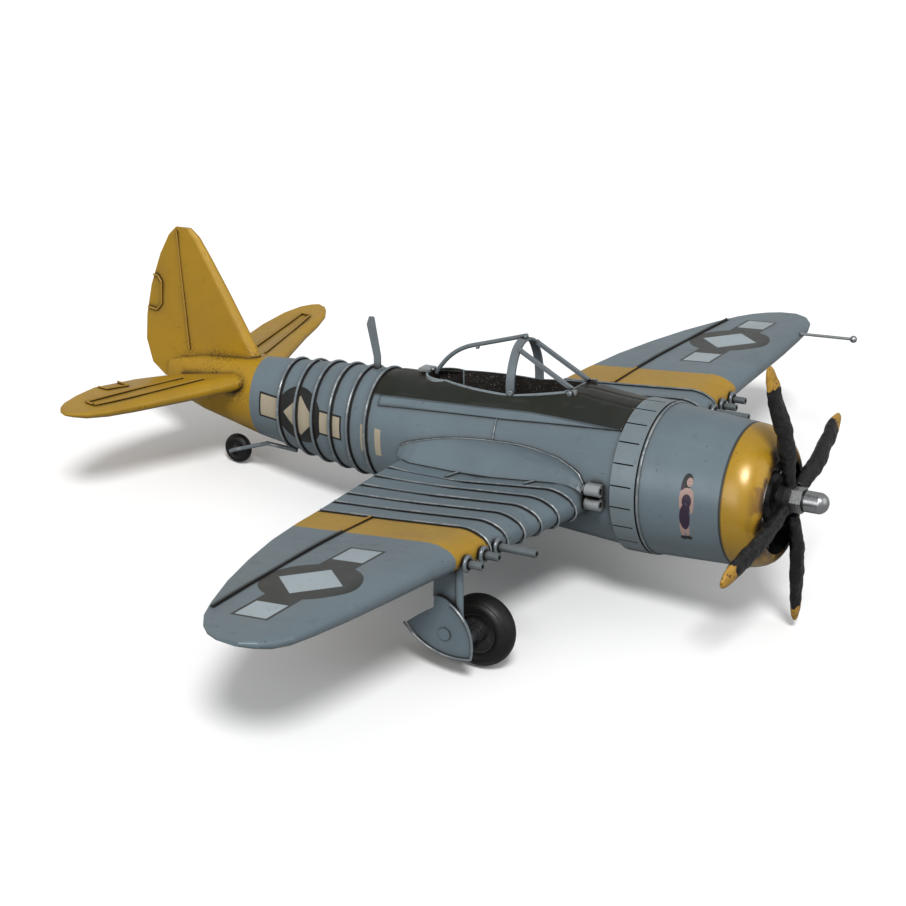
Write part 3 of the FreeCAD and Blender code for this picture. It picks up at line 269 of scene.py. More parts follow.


# ---------------------------------------------------------------- paint, patina and painted shade


def patina_and_painted_shade(t, color, lines_and_painted_shadows=None, rough=0.36, grime_and_shade=1.0, metallic=0.12, wave=0.5, coat=0.10):
    """Brushed paint over sheet: cloudy tone, specks and scuffs, and brown and black darkening beside every
    wire and in creases, placed by occlusion: partly dirt, partly painted shade.
    """
    cloud = t.noise(0.035, 2.0)
    mottle = t.noise(0.22, 4.0, 0.6, seed=7.0)
    fine = t.noise(1.6, 3.0, 0.6, seed=3.0)
    streak = t.noise(0.5, 3.0, 0.6, stretch=(1.0, 0.12, 1.0), seed=11.0)
    shade = t.step(cloud, 0.35, 0.68, 0.34)
    color = t.mix(shade, color, t.mix(0.45, color, DULLED))
    color = t.mix(t.step(streak, 0.56, 0.75, 0.07), color, t.mix(0.3, color, RUBBED))
    color = t.mix(t.step(mottle, 0.55, 0.80, 0.34 * grime_and_shade), color, t.mix(0.55, color, BROWN))
    # Occlusion darkening: a brown halo and a black crust beside wires and in creases, partly dirt and partly
    # painted shade.
    shut = t.occlusion(3.2)
    ragged = t.add(shut, t.mul(t.sub(mottle, 0.5), 0.22))
    halo_and_shade = t.step(ragged, 0.97, 0.70, 0.62 * grime_and_shade)
    crust_and_shade = t.step(ragged, 0.80, 0.58, 0.96 * grime_and_shade)
    if lines_and_painted_shadows is not None:
        crust_and_shade = t.either(crust_and_shade, lines_and_painted_shadows)
    color = t.mix(halo_and_shade, color, t.mix(0.78, color, BROWN))
    color = t.mix(crust_and_shade, color, SOOT_AND_SHADE)
    specks = t.step(t.noise(0.75, 2.0, 0.5, seed=23.0), 0.70, 0.77, 0.6 * grime_and_shade)
    color = t.mix(specks, color, BROWN)
    roughness = t.add(t.add(rough, t.mul(t.sub(mottle, 0.5), 0.22)), t.mul(crust_and_shade, 0.3))
    height = t.add(t.mul(fine, 0.10), t.add(t.mul(cloud, 2.2 * wave), t.mul(mottle, 0.5 * wave)))
    return t.finish(color, roughness, t.bump(height, 0.5, 0.35), metallic, coat)


def wire_finish(t, paint, bare=0.62):
    """Thin painted wire rubbed bright on its crown, with darkening in the crease beside it placed by
    occlusion: partly dirt, partly painted shade.
    """
    worn = t.noise(0.16, 4.0, 0.65, seed=5.0)
    mottle = t.noise(0.9, 3.0, 0.6, seed=9.0)
    shut = t.occlusion(2.2)
    open_side = t.step(shut, 0.55, 0.90)
    bright = t.both(open_side, t.step(worn, 0.62 - bare * 0.35, 0.72 - bare * 0.2))
    color = t.mix(bright, paint, STEEL)
    # Occlusion darkening in the crease beside the wire: partly dirt, partly painted shade.
    dirt_and_shade = t.step(t.add(shut, t.mul(t.sub(mottle, 0.5), 0.3)), 0.72, 0.42)
    color = t.mix(t.mul(dirt_and_shade, 0.97), color, SOOT_AND_SHADE)
    color = t.mix(t.step(mottle, 0.62, 0.8, 0.6), color, BROWN)
    metallic = t.mul(bright, 0.85)
    rough = t.add(0.30, t.mul(mottle, 0.22))
    return t.finish(color, rough, t.bump(mottle, 0.5, 0.12), metallic)


def roundel(t, x, y, middle, radius, bars, half, trim, tilt=0.0):
    """Masks of a dark disc and field, and of the pale lozenge and two pale bars on it."""
    dx = t.sub(x, middle[0])
    dy = t.sub(t.sub(y, middle[1]), t.mul(dx, tilt))
    reach = t.math("SQRT", t.add(t.mul(dx, dx), t.mul(dy, dy)))
    disc = t.step(reach, radius + MARK_SOFT, radius - MARK_SOFT)
    far = t.math("ABSOLUTE", dx)
    tall = t.math("ABSOLUTE", dy)
    field = t.both(t.step(far, bars[1] + MARK_SOFT, bars[1] - MARK_SOFT),
                   t.step(tall, half + MARK_SOFT, half - MARK_SOFT))
    bar = t.both(t.band(far, bars[0], bars[1] - trim),
                 t.step(tall, half - trim + MARK_SOFT, half - trim - MARK_SOFT))
    lozenge = t.step(t.add(far, tall), radius * 0.72 + 0.15, radius * 0.72 - 0.15)
    return t.either(disc, field), t.either(bar, lozenge)


def paint_wing(name):
    """Grey wing with the yellow band, the mark on its upper face and painted shadow lines beside ribs and
    hinge.
    """
    t = Tree(name)
    edge = t.mul(t.sub(t.noise(0.35, 3.0, seed=2.0), 0.5), 1.0)
    station = t.add(t.side, edge)
    color = t.mix(t.band(station, BAND_IN, BAND_OUT, 0.15), GREY, YELLOW)
    dark, pale = roundel(t, t.side, t.b, *WING_MARK)
    above = t.step(t.nc, 0.2, 0.5)
    chipped = t.invert(t.step(t.noise(0.45, 4.0, 0.6, seed=31.0), 0.70, 0.74, 0.7))
    color = t.mix(t.both(dark, above, chipped), color, WING_MARK_DARK)
    color = t.mix(t.both(pale, above, chipped), color, WHITE)
    # A dark line on one side of each rib wire and of the hinge wire, on the upper face only: painted shadows
    # of the wires.
    lines_and_painted_shadows = None
    for number in range(RIB_COUNT):
        at = RIB_FIRST + RIB_PITCH * number + 0.95
        line = t.line(t.add(t.side, t.mul(edge, 0.5)), at, 0.30, 0.45)
        lines_and_painted_shadows = line if lines_and_painted_shadows is None else t.either(lines_and_painted_shadows, line)
    hinge_b = t.sub(HINGE_STATION, t.mul(t.sub(t.side, HINGE_IN), HINGE_RAKE))
    hinge_shadow_line = t.both(t.line(t.sub(t.b, hinge_b), -0.85, 0.35, 0.4),
                   t.step(t.side, 88.5, 89.5), t.step(t.side, 187.5, 186.5))
    lines_and_painted_shadows = t.mul(t.both(t.either(lines_and_painted_shadows, hinge_shadow_line), above), 0.9)
    return patina_and_painted_shade(t, color, lines_and_painted_shadows)


def paint_fuselage():
    """Grey fuselage with the olive deck, the flank mark, two pale strokes and a painted shadow line ahead of
    each hoop.
    """
    t = Tree("fuselage_paint")
    fore = t.add(20.4, t.mul(t.sub(t.b, 55.0), 0.017))
    rear = t.sub(21.4, t.mul(t.sub(t.b, 84.0), 0.050))
    edge = t.math("MINIMUM", fore, rear)
    over = t.sub(t.c, edge)
    reach = t.both(t.step(t.b, 53.8, 54.0), t.step(t.b, 157.9, 157.6))
    color = t.mix(t.both(t.step(over, -0.08, 0.08), reach), GREY, OLIVE)
    rim = t.both(t.line(over, -0.25, 0.12, 0.3), reach)
    dark, pale = roundel(t, t.b, t.c, *FLANK_MARK, tilt=FLANK_RISE)
    flank = t.step(t.side, 7.0, 8.0)
    color = t.mix(t.both(dark, flank), color, FLANK_MARK_DARK)
    color = t.mix(t.both(pale, flank), color, CREAM)
    mark = t.sub(t.c, t.add(1.9, t.mul(t.sub(t.b, 160.0), FLANK_RISE)))
    stroke = t.either(t.band(t.b, 157.3, 160.0), t.band(t.b, 151.0, 153.6))
    color = t.mix(t.both(stroke, t.step(t.math("ABSOLUTE", mark), 5.2, 5.0), flank), color, CREAM)
    lines_and_painted_shadows = t.mul(rim, 0.55)
    # A dark line just ahead of each hoop wire: painted shadow of the wire; the line under the olive edge is a
    # seam.
    for number in range(HOOP_COUNT):
        at = HOOP_FIRST + HOOP_PITCH * number
        wobble = t.mul(t.sub(t.noise(0.3, 2.0, seed=4.0), 0.5), 0.5)
        lines_and_painted_shadows = t.either(lines_and_painted_shadows, t.mul(t.line(t.add(t.b, wobble), at - 0.85, 0.35, 0.45), 0.95))
    return patina_and_painted_shade(t, color, lines_and_painted_shadows)


# plain standing figure in a plain dress: centre, half sizes and tone of each painted patch
FIGURE = (
    ((26.9, 6.6), (1.5, 4.2), VIOLET),
    ((26.2, 8.9), (1.8, 2.4), INK),
    ((25.5, 8.6), (1.05, 1.45), SKIN),
    ((25.15, 8.8), (0.16, 0.14), INK),
    ((25.85, 8.8), (0.16, 0.14), INK),
    ((25.5, 7.9), (0.32, 0.10), BROWN),
    ((25.9, 4.7), (2.2, 2.0), SKIN),
    ((28.0, 2.4), (0.7, 3.4), SKIN),
    ((24.1, 1.6), (0.7, 3.6), SKIN),
    ((26.0, -7.6), (0.85, 3.6), SKIN),
    ((27.7, -7.8), (0.85, 3.6), SKIN),
    ((26.0, 2.2), (1.7, 2.4), VIOLET),
    ((26.2, -0.6), (1.5, 2.0), VIOLET),
    ((26.6, -3.6), (1.9, 4.6), VIOLET),
    ((25.7, -11.4), (1.2, 0.8), INK),
    ((27.6, -11.6), (1.2, 0.8), INK),
)


def paint_cowl():
    """Grey cowl with the plain figure on its starboard flank; yellow at the lip, and black inside as painted
    shade of the hollow.
    """
    t = Tree("cowl_paint")
    color = t.mix(t.step(t.b, 13.8, 13.6), GREY, YELLOW)
    near = t.both(t.step(t.a, -15.0, -16.0), t.invert(t.step(t.noise(0.6, 3.0, seed=12.0), 0.68, 0.72, 0.7)))
    for middle, radii, tone in FIGURE:
        dx = t.mul(t.sub(t.b, middle[0]), 1 / radii[0])
        dy = t.mul(t.sub(t.c, middle[1]), 1 / radii[1])
        spot = t.step(t.add(t.mul(dx, dx), t.mul(dy, dy)), 1.06, 0.94)
        color = t.mix(t.both(spot, near), color, tone)
    # Faces turned in towards the axis go black: painted shade inside the cowl.
    inward = t.step(t.add(t.mul(t.a, t.na), t.mul(t.c, t.nc)), -0.5, -4.0)
    color = t.mix(inward, color, INSIDE_SHADE_BLACK)
    return patina_and_painted_shade(t, color, t.mul(t.line(t.b, 14.3, 0.2, 0.35), 0.8))


def paint_nose():
    """Yellow nose ring, browned at its lip, and black inside as painted shade of the hollow."""
    t = Tree("nose_paint")
    blotch = t.noise(0.16, 4.0, 0.6, seed=41.0)
    lip = t.both(t.step(t.b, 6.5, 2.6), t.step(blotch, 0.44, 0.62))
    color = t.mix(t.mul(lip, 0.8), YELLOW, LIP_RUST)
    inside = t.step(t.b, 2.6, 1.9)
    color = t.mix(t.mul(inside, t.step(blotch, 0.30, 0.55, 0.9)), color, BROWN)
    # Faces turned in towards the axis go black: painted shade inside the ring.
    radial = t.add(t.mul(t.a, t.na), t.mul(t.add(t.c, 2.0), t.nc))
    color = t.mix(t.step(radial, -0.5, -4.0), color, INSIDE_SHADE_BLACK)
    return patina_and_painted_shade(t, color, t.mul(t.line(t.b, 13.9, 0.15, 0.3), 0.7), rough=0.30, coat=0.35)


def paint_plain(name, color, **options):
    """One paint all over, with the usual patina and painted shade."""
    return patina_and_painted_shade(Tree(name), color, **options)


def paint_tail():
    """Yellow tail paint, crackled towards its joints."""
    t = Tree("tail_paint")
    crackle = t.node("TexVoronoi", feature="DISTANCE_TO_EDGE")
    crackle.inputs["Scale"].default_value = 0.55
    t.links.new(t.place, crackle.inputs["Vector"])
    near_root = t.step(t.occlusion(9.0), 0.97, 0.80)
    cracks = t.both(t.step(crackle.outputs["Distance"], 0.09, 0.02), near_root,
                    t.step(t.noise(0.12, seed=8.0), 0.42, 0.58))
    return patina_and_painted_shade(t, YELLOW, t.mul(cracks, 0.8), rough=0.34)


def paint_coaming():
    """Pale cockpit rail with a tarry, flecked inner wall."""
    t = Tree("coaming_paint")
    inward = t.step(t.add(t.mul(t.a, t.na), t.mul(t.sub(t.b, 110.0), t.nb)), 0.5, -0.5)
    wall = t.both(inward, t.step(t.nc, 0.6, 0.4))
    rust = t.noise(0.7, 5.0, 0.7, seed=15.0)
    fleck = t.noise(1.3, 4.0, 0.7, seed=18.0)
    tar = t.mix(t.step(rust, 0.48, 0.62), TAR, TAR_RUST)
    tar = t.mix(t.step(fleck, 0.61, 0.67, 0.8), tar, TAR_FLECK)
    color = t.mix(wall, GREY_PALE, tar)
    mottle = t.noise(0.4, 4.0, seed=6.0)
    color = t.mix(t.step(mottle, 0.55, 0.75, 0.5), color, t.mix(0.6, color, BROWN))
    height = t.add(t.mul(fleck, 1.0), t.mul(rust, 1.5))
    return t.finish(color, t.add(0.45, t.mul(wall, 0.25)), t.bump(t.mul(height, wall), 0.8, 0.5), 0.0)


def paint_blade():
    """Hammered black blade with a chipped yellow tip."""
    t = Tree("blade_paint")
    reach = t.math("SQRT", t.add(t.mul(t.a, t.a), t.mul(t.c, t.c)))
    ragged = t.add(reach, t.mul(t.sub(t.noise(0.5, 4.0, seed=21.0), 0.5), 5.0))
    tip = t.step(ragged, 44.6, 45.2)
    chips = t.invert(t.step(t.noise(0.8, 3.0, seed=22.0), 0.60, 0.66, 0.9))
    hammer = t.noise(0.30, 3.0, 0.55, seed=25.0)
    fine = t.noise(1.6, 3.0, 0.6, seed=26.0)
    color = t.mix(t.step(hammer, 0.5, 0.75, 0.7), (0.004, 0.004, 0.005, 1), (0.012, 0.012, 0.013, 1))
    color = t.mix(t.both(tip, chips), color, TIP_YELLOW)
    height = t.add(t.mul(hammer, 2.2), t.mul(fine, 0.25))
    return t.finish(color, t.add(0.30, t.mul(fine, 0.25)), t.bump(height, 0.7, 0.7), 0.0)


def paint_black(name, tone, rough=0.38):
    """Uneven black paint."""
    t = Tree(name)
    mottle = t.noise(0.8, 4.0, 0.6, seed=27.0)
    worn = (tone * 4, tone * 3.7, tone * 3.4, 1)
    color = t.mix(t.step(mottle, 0.52, 0.75, 0.7), (tone, tone, tone * 1.05, 1), worn)
    return t.finish(color, t.add(rough, t.mul(mottle, 0.2)), t.bump(mottle, 0.5, 0.3), 0.0)


def paint_metal(name, tone, rough, dirt_and_shade=1.0):
    """Turned metal, darkened in its creases by occlusion: partly dirt, partly painted shade."""
    t = Tree(name)
    mottle = t.noise(0.5, 4.0, 0.6, seed=29.0)
    turned = t.noise(0.35, 3.0, 0.6, stretch=(1.0, 9.0, 1.0), seed=30.0)
    shut = t.occlusion(1.6)
    # Occlusion darkening in creases: partly dirt, partly painted shade.
    grime_and_shade = t.step(t.add(shut, t.mul(t.sub(mottle, 0.5), 0.3)), 0.86, 0.5)
    color = t.mix(t.mul(grime_and_shade, 0.9 * dirt_and_shade), tone, SOOT_AND_SHADE)
    color = t.mix(t.step(mottle, 0.58, 0.75, 0.45 * dirt_and_shade), color, METAL_STAIN)
    roughness = t.add(t.add(rough, t.mul(mottle, 0.14)), t.mul(grime_and_shade, 0.3))
    return t.finish(color, roughness, t.bump(turned, 0.25, 0.1), t.invert(t.mul(grime_and_shade, 0.7)))


def paint_tyre():
    """Dusty black rubber."""
    t = Tree("tyre_rubber")
    grain = t.noise(1.1, 4.0, 0.65, seed=33.0)
    dust = t.noise(0.14, 3.0, 0.6, seed=34.0)
    color = t.mix(t.step(dust, 0.50, 0.75, 0.5), (0.004, 0.004, 0.004, 1), (0.012, 0.012, 0.011, 1))
    return t.finish(color, t.add(0.34, t.mul(grain, 0.25)), t.bump(grain, 0.4, 0.12), 0.0)


# ---------------------------------------------------------------- give each CAD node its finish

grey = paint_plain("grey_paint", GREY)
strip = paint_plain("strip_paint", (0.17, 0.20, 0.22, 1), rough=0.27, metallic=0.35)
tail = paint_tail()
wire_grey = wire_finish(Tree("wire_grey"), (0.12, 0.145, 0.16, 1), 0.45)
wire_yellow = wire_finish(Tree("wire_yellow"), (0.30, 0.17, 0.022, 1), -0.4)
wing = paint_wing("wing_paint")
metal = paint_metal("plated_metal", (0.40, 0.41, 0.42, 1), 0.20, 1.2)
dull = paint_metal("dull_metal", STEEL, 0.32)
black = paint_black("black_paint", 0.006)
engine = paint_black("engine_black", 0.004, 0.34)
hub = paint_black("hub_grey", 0.022, 0.40)
tyre = paint_tyre()
blade = paint_blade()
gun_metal = paint_plain("gun_metal", (0.15, 0.175, 0.185, 1), rough=0.24, metallic=0.45)


def aileron_wire():
    """Hinge wire: yellow where it crosses the band, dark grey outside it."""
    t = Tree("aileron_wire")
    paint = t.mix(t.step(t.side, 108.0, 108.4), (0.30, 0.17, 0.025, 1), (0.045, 0.050, 0.052, 1))
    return wire_finish(t, paint, -0.4)


FINISH = {
    "fuselage_skin": paint_fuselage(), "tail_cone_skin": tail, "fin_and_rudder": tail,
    "stabilizer_left": tail, "stabilizer_right": tail, "cowl_skin": paint_cowl(), "nose_ring": paint_nose(),
    "wing_left": wing, "wing_right": wing, "cockpit_coaming": paint_coaming(),
    "cowl_flaps": paint_plain("flap_paint", (0.165, 0.205, 0.225, 1)), "cowl_bead_wire": wire_grey,
    "fuselage_hoops": wire_grey, "wing_rib_wires_left": wire_grey,
    "wing_rib_wires_right": wire_grey, "fender_rim_wires": wire_grey, "tail_wheel_arm": wire_grey,
    "aileron_wires": aileron_wire(), "fin_wires": wire_yellow, "stabilizer_wires_left": wire_yellow,
    "stabilizer_wires_right": wire_yellow, "engine_plate": engine, "engine_crankcase": engine,
    "engine_cylinders": engine, "engine_push_rods": dull,
    "gun_barrels_left": gun_metal, "gun_barrels_right": gun_metal,
    "gun_collars": strip, "canopy_arch": strip, "canopy_spine": strip, "windscreen_struts": strip,
    "canopy_lugs": paint_plain("lug_paint", (0.26, 0.29, 0.30, 1), rough=0.3), "antenna_mast": strip,
    "propeller_hub": black, "propeller_nut": metal, "propeller_cap_nut": metal, "propeller_shaft": metal,
    "main_axle_left": dull, "main_axle_right": dull, "tail_axle": dull, "pitot_tube": dull,
    "root_fittings": paint_plain("fitting_paint", (0.26, 0.28, 0.29, 1), rough=0.28),
}
for number in range(1, 5):
    FINISH["propeller_blade_%d" % number] = blade
for wheel in ("main_wheel_left", "main_wheel_right", "tail_wheel"):
    FINISH[wheel + "_tyre"] = tyre
    FINISH[wheel + "_hub"] = hub

for name, thing in frame["nodes"].items():
    thing.data.materials.clear()
    thing.data.materials.append(FINISH.get(name, grey))

# ---------------------------------------------------------------- hand-made detail on the airframe


def tree_of(name):
    """Faces of a CAD node, ready for ray casting."""
    data = frame["nodes"][name].data
    points = [vert.co.copy() for vert in data.vertices]
    return BVHTree.FromPolygons(points, [tuple(face.vertices) for face in data.polygons])


FUSELAGE = tree_of("fuselage_skin")


def on_fuselage(b, c, side, lift=0.0):
    """Point of the fuselage side at a station and height, in the row frame."""
    hit, _, _, _ = FUSELAGE.ray_cast(row(side * 60.0, b, c), PORT * -side)
    return hit + PORT * side * lift * MM if hit else row(side * 20.0, b, c)


def add_piece(name, data, material, body="airframe", stands_for=()):
    """New object on a body, in place of any nodes that it stands for."""
    thing = bpy.data.objects.new(name, data)
    bpy.context.scene.collection.objects.link(thing)
    thing.data.materials.clear()
    thing.data.materials.append(material)
    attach(thing, body)
    if stands_for:
        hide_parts(*stands_for)
    return thing


def mesh_from(name, verts, faces):
    """Smooth-shaded mesh of given points and faces."""
    data = bpy.data.meshes.new(name)
    data.from_pydata([tuple(v) for v in verts], [], faces)
    data.validate()
    for face in data.polygons:
        face.use_smooth = True
    return data


def tube_mesh(name, points, radius):
    """Slightly uneven round wire along points, closed at both ends."""
    sides, wobble = 8, 0.12
    verts, faces = [], []
    count = len(points)
    before = None
    for step, point in enumerate(points):
        ahead = points[min(step + 1, count - 1)] - points[max(step - 1, 0)]
        ahead.normalize()
        flat = (before or ahead.orthogonal()).normalized()
        flat = (flat - ahead * flat.dot(ahead)).normalized()
        before = flat
        other = ahead.cross(flat)
        reach = radius * MM * (1 + wobble * noise.noise(point * 300.0))
        for turn in range(sides):
            angle = 2 * math.pi * turn / sides
            verts.append(point + (flat * math.cos(angle) + other * math.sin(angle)) * reach)
    for step in range(count - 1):
        for turn in range(sides):
            low, high = step * sides, (step + 1) * sides
            after = (turn + 1) % sides
            faces.append((low + turn, low + after, high + after, high + turn))
    faces.append(tuple(reversed(range(sides))))
    faces.append(tuple((count - 1) * sides + turn for turn in range(sides)))
    return mesh_from(name, verts, faces)


def lump(mesh, centre, normal, radius, height, seed):
    """One uneven drop of solder in a bmesh: a flattened, dented ball."""
    made = bmesh.ops.create_icosphere(mesh, subdivisions=3, radius=1.0)
    turn = Vector(normal).to_track_quat("Z", "Y")
    for vert in made["verts"]:
        way = vert.co.normalized()
        broad = 0.28 * noise.noise(way * 1.7 + Vector((seed, 2.3, 0.7)))
        small = 0.10 * noise.noise(way * 4.1 + Vector((0.3, seed, 1.9)))
        swell = 1 + broad + small
        flat = Vector((way.x * radius, way.y * radius, way.z * height)) * swell * MM
        vert.co = centre + turn @ flat


def lumps(name, spots, material):
    """All the drops of one piece: centre, normal, radius and height of each."""
    mesh = bmesh.new()
    for number, (centre, normal, radius, height) in enumerate(spots):
        lump(mesh, centre, normal, radius, height, 1.7 * number + 0.37)
    for face in mesh.faces:
        face.smooth = True
    data = bpy.data.meshes.new(name)
    mesh.to_mesh(data)
    mesh.free()
    return add_piece(name, data, material)


def build_seams():
    """Solder seam on each fuselage flank and the turned edge of each root panel."""
    for name, side in (("left", 1), ("right", -1)):
        seam = [on_fuselage(104.4 - 0.07 * step, 20.4 - 0.78 * step, side, 0.10) for step in range(14)]
        add_piece("fuselage_seam_" + name, tube_mesh("fuselage_seam_" + name, seam, 0.30), wire_grey)
        route = []
        for (b0, c0), (b1, c1) in zip(PANEL_EDGE, PANEL_EDGE[1:]):
            for part in range(4):
                share = part / 4
                route.append(on_fuselage(b0 + share * (b1 - b0), c0 + share * (c1 - c0) + 0.10, side, 0.42))
        add_piece("root_panel_edge_" + name, tube_mesh("root_panel_edge_" + name, route, 0.28), wire_grey)


def deck_rail(b):
    """Half width and height of the deck's inner edge: closed front part, cockpit rail, ridge behind it."""
    if b < OPENING_FRONT:
        return FRONT_HALF, 27.2
    if b <= OPENING_BACK:
        if b < ARCH_STATION:
            height = 28.1 - 3.2 * (b - OPENING_FRONT) / 21.4
        else:
            height = 24.9 + 0.6 * (b - ARCH_STATION) / 43.6
        for (b0, w0), (b1, w1) in zip(RAIL_WIDTHS, RAIL_WIDTHS[1:]):
            if b0 <= b <= b1:
                return w0 + (w1 - w0) * (b - b0) / (b1 - b0), height - 0.9
    share = min(1.0, (b - OPENING_BACK) / 13.0)
    return 0.0, 24.6 - 0.9 * share


def top_of(a, b):
    """Point of the fuselage's plain oval above a place in plan, as if it had no opening, in the row frame."""
    for (b0, mid0, high0, wide0), (b1, mid1, high1, wide1) in zip(OVALS, OVALS[1:]):
        if b <= b1:
            share = (b - b0) / (b1 - b0)
            mid = mid0 + share * (mid1 - mid0)
            high = high0 + share * (high1 - high0)
            wide = wide0 + share * (wide1 - wide0)
            return row(a, b, mid + high * math.sqrt(max(0.0, 1 - (a / wide) ** 2)))


def add_grid(faces, rows, across, base, side):
    """Quads of a grid whose points start at base, facing outwards on either side."""
    for i in range(rows - 1):
        for j in range(across):
            low = base + i * (across + 1) + j
            quad = (low, low + 1, low + across + 2, low + across + 1)
            faces.append(quad if side < 0 else tuple(reversed(quad)))


def deck_flank(b, side):
    """One row of the deck from its inner edge down to its foot, which leaves along the fuselage's slope."""
    half, height = deck_rail(b)
    foot = FOOT_WIDE - FOOT_TAPER * (b - DECK_START)
    _, _, c_foot = air(top_of(foot * side, b))
    _, _, c_in = air(top_of((foot - 0.8) * side, b))
    slope = (c_in - c_foot) / 0.8
    span = foot - half
    fade_aft = min(1.0, max(0.0, (DECK_END - b) / DECK_FADE_AFT))
    fade = fade_aft * min(1.0, (b - DECK_START) / DECK_FADE_FORE)
    points = []
    for step in range(DECK_COLUMNS + 1):
        share = step / DECK_COLUMNS
        a = half + span * share
        rise = height - c_foot
        s2, s3 = share * share, share ** 3
        c = (2 * s3 - 3 * s2 + 1) * rise + (s3 - 2 * s2 + share) * span * -0.16 + (s3 - s2) * span * -slope
        skin = air(top_of(a * side, b))[2]
        points.append(row(a * side, b, max(skin - 0.25, skin + (c + c_foot - skin) * fade)))
    return points


def deck_front(b, side):
    """One row of the slightly crowned deck ahead of the opening, from the centre line outwards."""
    fade = min(1.0, (b - DECK_START) / DECK_FADE_FORE)
    points = []
    for step in range(FRONT_COLUMNS + 1):
        a = FRONT_HALF * step / FRONT_COLUMNS
        skin = air(top_of(a * side, b))[2]
        crown = FRONT_TOP - FRONT_DROP * (a / FRONT_HALF) ** 2
        points.append(row(a * side, b, skin + (crown - skin) * fade))
    return points


def build_deck():
    """Upper deck sheet that rises from the fuselage to the cockpit rail, closed ahead of the opening."""
    stations = [DECK_START + DECK_STEP * step for step in range(DECK_STATIONS)]
    ahead = [b for b in stations if b < OPENING_FRONT + 0.2]
    for name, side in (("left", 1), ("right", -1)):
        verts, faces = [], []
        for b in stations:
            verts += deck_flank(b, side)
        add_grid(faces, len(stations), DECK_COLUMNS, 0, side)
        base = len(verts)
        for b in ahead:
            verts += deck_front(b, side)
        add_grid(faces, len(ahead), FRONT_COLUMNS, base, side)
        data = mesh_from("cockpit_deck_" + name, verts, faces)
        thing = add_piece("cockpit_deck_" + name, data, FINISH["fuselage_skin"])
        solid = thing.modifiers.new("thick", "SOLIDIFY")
        solid.thickness = DECK_THICK * MM
        solid.offset = -1


def build_blades():
    """Forged blades: the plain blade remeshed, dented and left with wandering edges."""
    for number in range(1, 5):
        name = "propeller_blade_%d" % number
        data = frame["nodes"][name].data.copy()
        thing = add_piece("forged_blade_%d" % number, data, blade, "propeller", (name,))
        remesh = thing.modifiers.new("even", "REMESH")
        remesh.mode = "VOXEL"
        remesh.voxel_size = 0.42 * MM
        bpy.context.view_layer.update()
        baked = bpy.data.meshes.new_from_object(thing.evaluated_get(bpy.context.evaluated_depsgraph_get()))
        thing.modifiers.clear()
        thing.data = baked
        thing.data.materials.clear()
        thing.data.materials.append(blade)
        normals = [vert.normal.copy() for vert in baked.vertices]
        for vert, normal in zip(baked.vertices, normals):
            a, b, c = air(vert.co)
            reach = math.hypot(a, c)
            spot = Vector((a, b * 1.5, c)) * 0.16 + Vector((number * 7.1, 0, 0))
            dent = 0.55 * noise.noise(spot) + 0.30 * noise.noise(spot * 2.6)
            calm = min(1.0, max(0.0, (51.0 - reach) / 6.0)) * min(1.0, max(0.0, (reach - 6.0) / 4.0))
            vert.co += normal * (dent * calm - 0.12 * (1 - calm)) * MM
        for face in baked.polygons:
            face.use_smooth = True


def build_solder():
    """Drops of solder where wires, mast, frame and fin are fixed."""
    plain = paint_plain("solder_paint", (0.17, 0.20, 0.215, 1), rough=0.26, metallic=0.3)
    golden = paint_plain("solder_yellow", (0.27, 0.15, 0.02, 1), rough=0.3)
    spots = [(row(0, 160.6, 22.9), UP, 2.1, 1.0), (row(1.2, 162.0, 22.9), UP, 1.4, 0.8)]
    for side in (1, -1):
        spots += [
            (row(side * 8.6, 79.2, 27.6), PORT * side, 1.25, 0.7),
            (row(side * 8.5, 80.4, 25.6), PORT * side, 0.9, 0.5),
            (row(side * 6.3, 99.7, 40.0), -AFT, 1.1, 0.7),
            (row(side * 11.3, 101.4, 25.4), PORT * side, 1.5, 0.6),
            (row(side * 25.3, 64.5, 0.3), -AFT, 1.7, 0.7),
        ]
    spots += [
        (row(0, 120.6, 37.3), -UP, 0.8, 1.1),
        (row(0, 101.0, 43.3), -AFT, 1.3, 0.8),
        (row(0, 139.4, 26.3), UP, 1.4, 0.7),
    ]
    lumps("solder_drops", spots, plain)
    beads = []
    for side in (1, -1):
        for step in range(9):
            b = 219.0 + 4.1 * step + 1.1 * noise.noise(Vector((step * 1.3, side, 0)))
            a = 1.6 + 0.35 * noise.noise(Vector((step, 3.1 * side, 1)))
            radius = 1.1 + 0.3 * noise.noise(Vector((step, 0, 4)))
            beads.append((row(side * a, b, 20.1 - 0.245 * (b - 219.0)), UP, radius, 0.55))
    lumps("fin_root_beads", beads, golden)


build_seams()
build_deck()
build_blades()
build_solder()

# ---------------------------------------------------------------- floor, light and camera


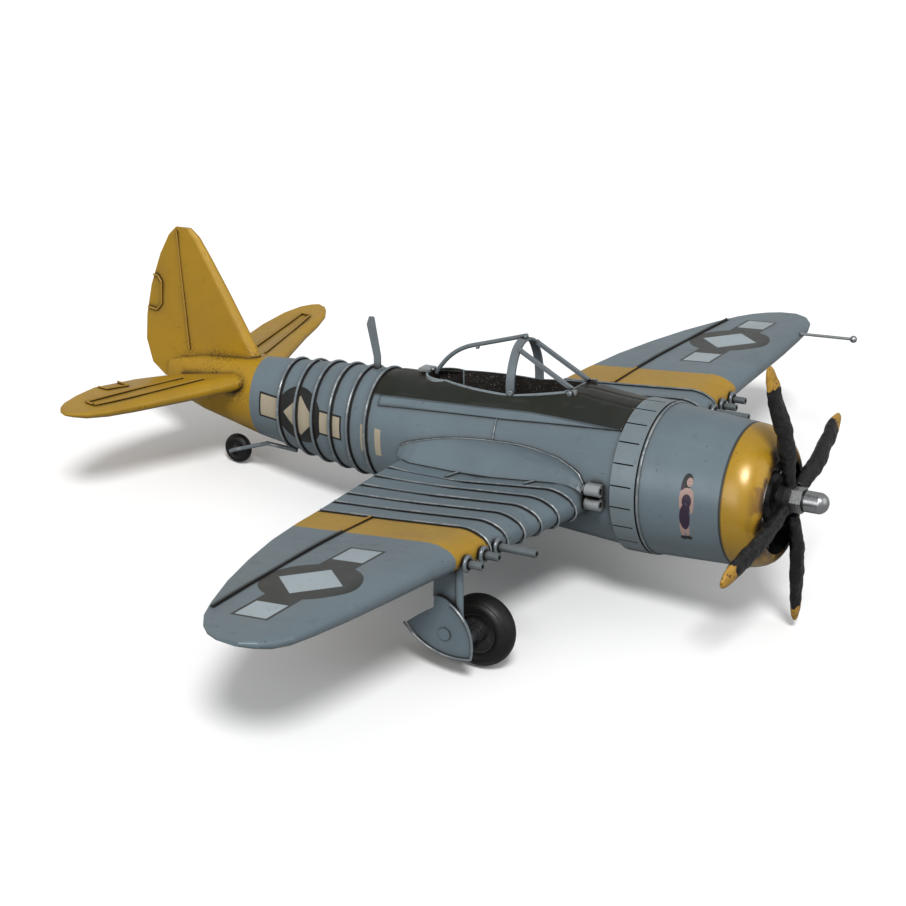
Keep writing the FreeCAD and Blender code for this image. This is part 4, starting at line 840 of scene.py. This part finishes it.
def build_stage():
    """Plain pale floor and even surroundings, both dimmer as light sources than they look."""
    bpy.ops.mesh.primitive_plane_add(size=16.0, location=(0, 0, -0.0002))
    floor = bpy.context.object
    floor.name = "floor"
    material = bpy.data.materials.new("floor_white")
    material.use_nodes = True
    nodes, links = material.node_tree.nodes, material.node_tree.links
    nodes.clear()
    pale, bounce = nodes.new("ShaderNodeBsdfDiffuse"), nodes.new("ShaderNodeBsdfDiffuse")
    pale.inputs["Color"].default_value = (0.93, 0.93, 0.93, 1)
    bounce.inputs["Color"].default_value = (0.30, 0.30, 0.30, 1)
    path = nodes.new("ShaderNodeLightPath")
    blend = nodes.new("ShaderNodeMixShader")
    out = nodes.new("ShaderNodeOutputMaterial")
    links.new(path.outputs["Is Camera Ray"], blend.inputs[0])
    links.new(bounce.outputs[0], blend.inputs[1])
    links.new(pale.outputs[0], blend.inputs[2])
    links.new(blend.outputs[0], out.inputs[0])
    floor.data.materials.append(material)

    world = bpy.data.worlds.new("studio")
    bpy.context.scene.world = world
    world.use_nodes = True
    nodes, links = world.node_tree.nodes, world.node_tree.links
    light = nodes["Background"]
    light.inputs[0].default_value = (1, 1, 1, 1)
    light.inputs[1].default_value = 0.46
    seen = nodes.new("ShaderNodeBackground")
    seen.inputs[1].default_value = 1.1
    path = nodes.new("ShaderNodeLightPath")
    blend = nodes.new("ShaderNodeMixShader")
    links.new(path.outputs["Is Camera Ray"], blend.inputs[0])
    links.new(light.outputs[0], blend.inputs[1])
    links.new(seen.outputs[0], blend.inputs[2])
    links.new(blend.outputs[0], nodes["World Output"].inputs[0])


def toward(azimuth, elevation):
    """Direction at an azimuth and elevation in radians; azimuth 0 is straight ahead of the nose."""
    flat = math.cos(elevation)
    return Vector((math.sin(azimuth) * flat, -math.cos(azimuth) * flat, math.sin(elevation)))


def sun(name, azimuth, elevation, power, angle):
    """Distant lamp at an azimuth and elevation in degrees, with soft shadows of the given angle."""
    data = bpy.data.lights.new(name, "SUN")
    data.energy = power
    data.angle = math.radians(angle)
    lamp = bpy.data.objects.new(name, data)
    bpy.context.scene.collection.objects.link(lamp)
    way = toward(math.radians(azimuth), math.radians(elevation))
    lamp.rotation_euler = way.to_track_quat("Z", "Y").to_euler()


def build_camera():
    """Camera at the photograph's angle, slightly rolled."""
    data = bpy.data.cameras.new("camera")
    data.lens = 100.42
    data.sensor_width = 36.0
    data.clip_start = 0.05
    data.clip_end = 50.0
    camera = bpy.data.objects.new("camera", data)
    bpy.context.scene.collection.objects.link(camera)
    azimuth, elevation, roll = math.radians(-62.212), math.radians(21.807), math.radians(6.593)
    back = toward(azimuth, elevation)
    level = Vector((math.cos(azimuth), math.sin(azimuth), 0))
    right = level * math.cos(roll) + back.cross(level) * math.sin(roll)
    up = back.cross(right)
    target = Vector((-0.00027, 0.00233, 0.0311))
    distance = 0.921
    spot = target + back * distance
    camera.matrix_world = Matrix((
        (right.x, up.x, back.x, spot.x),
        (right.y, up.y, back.y, spot.y),
        (right.z, up.z, back.z, spot.z),
        (0, 0, 0, 1)))
    bpy.context.scene.camera = camera


build_stage()
sun("key", -62, 50, 2.5, 16)
sun("side", -95, 14, 0.9, 40)
sun("fill", 15, 30, 0.45, 50)
build_camera()
bpy.context.scene.view_settings.view_transform = "Standard"
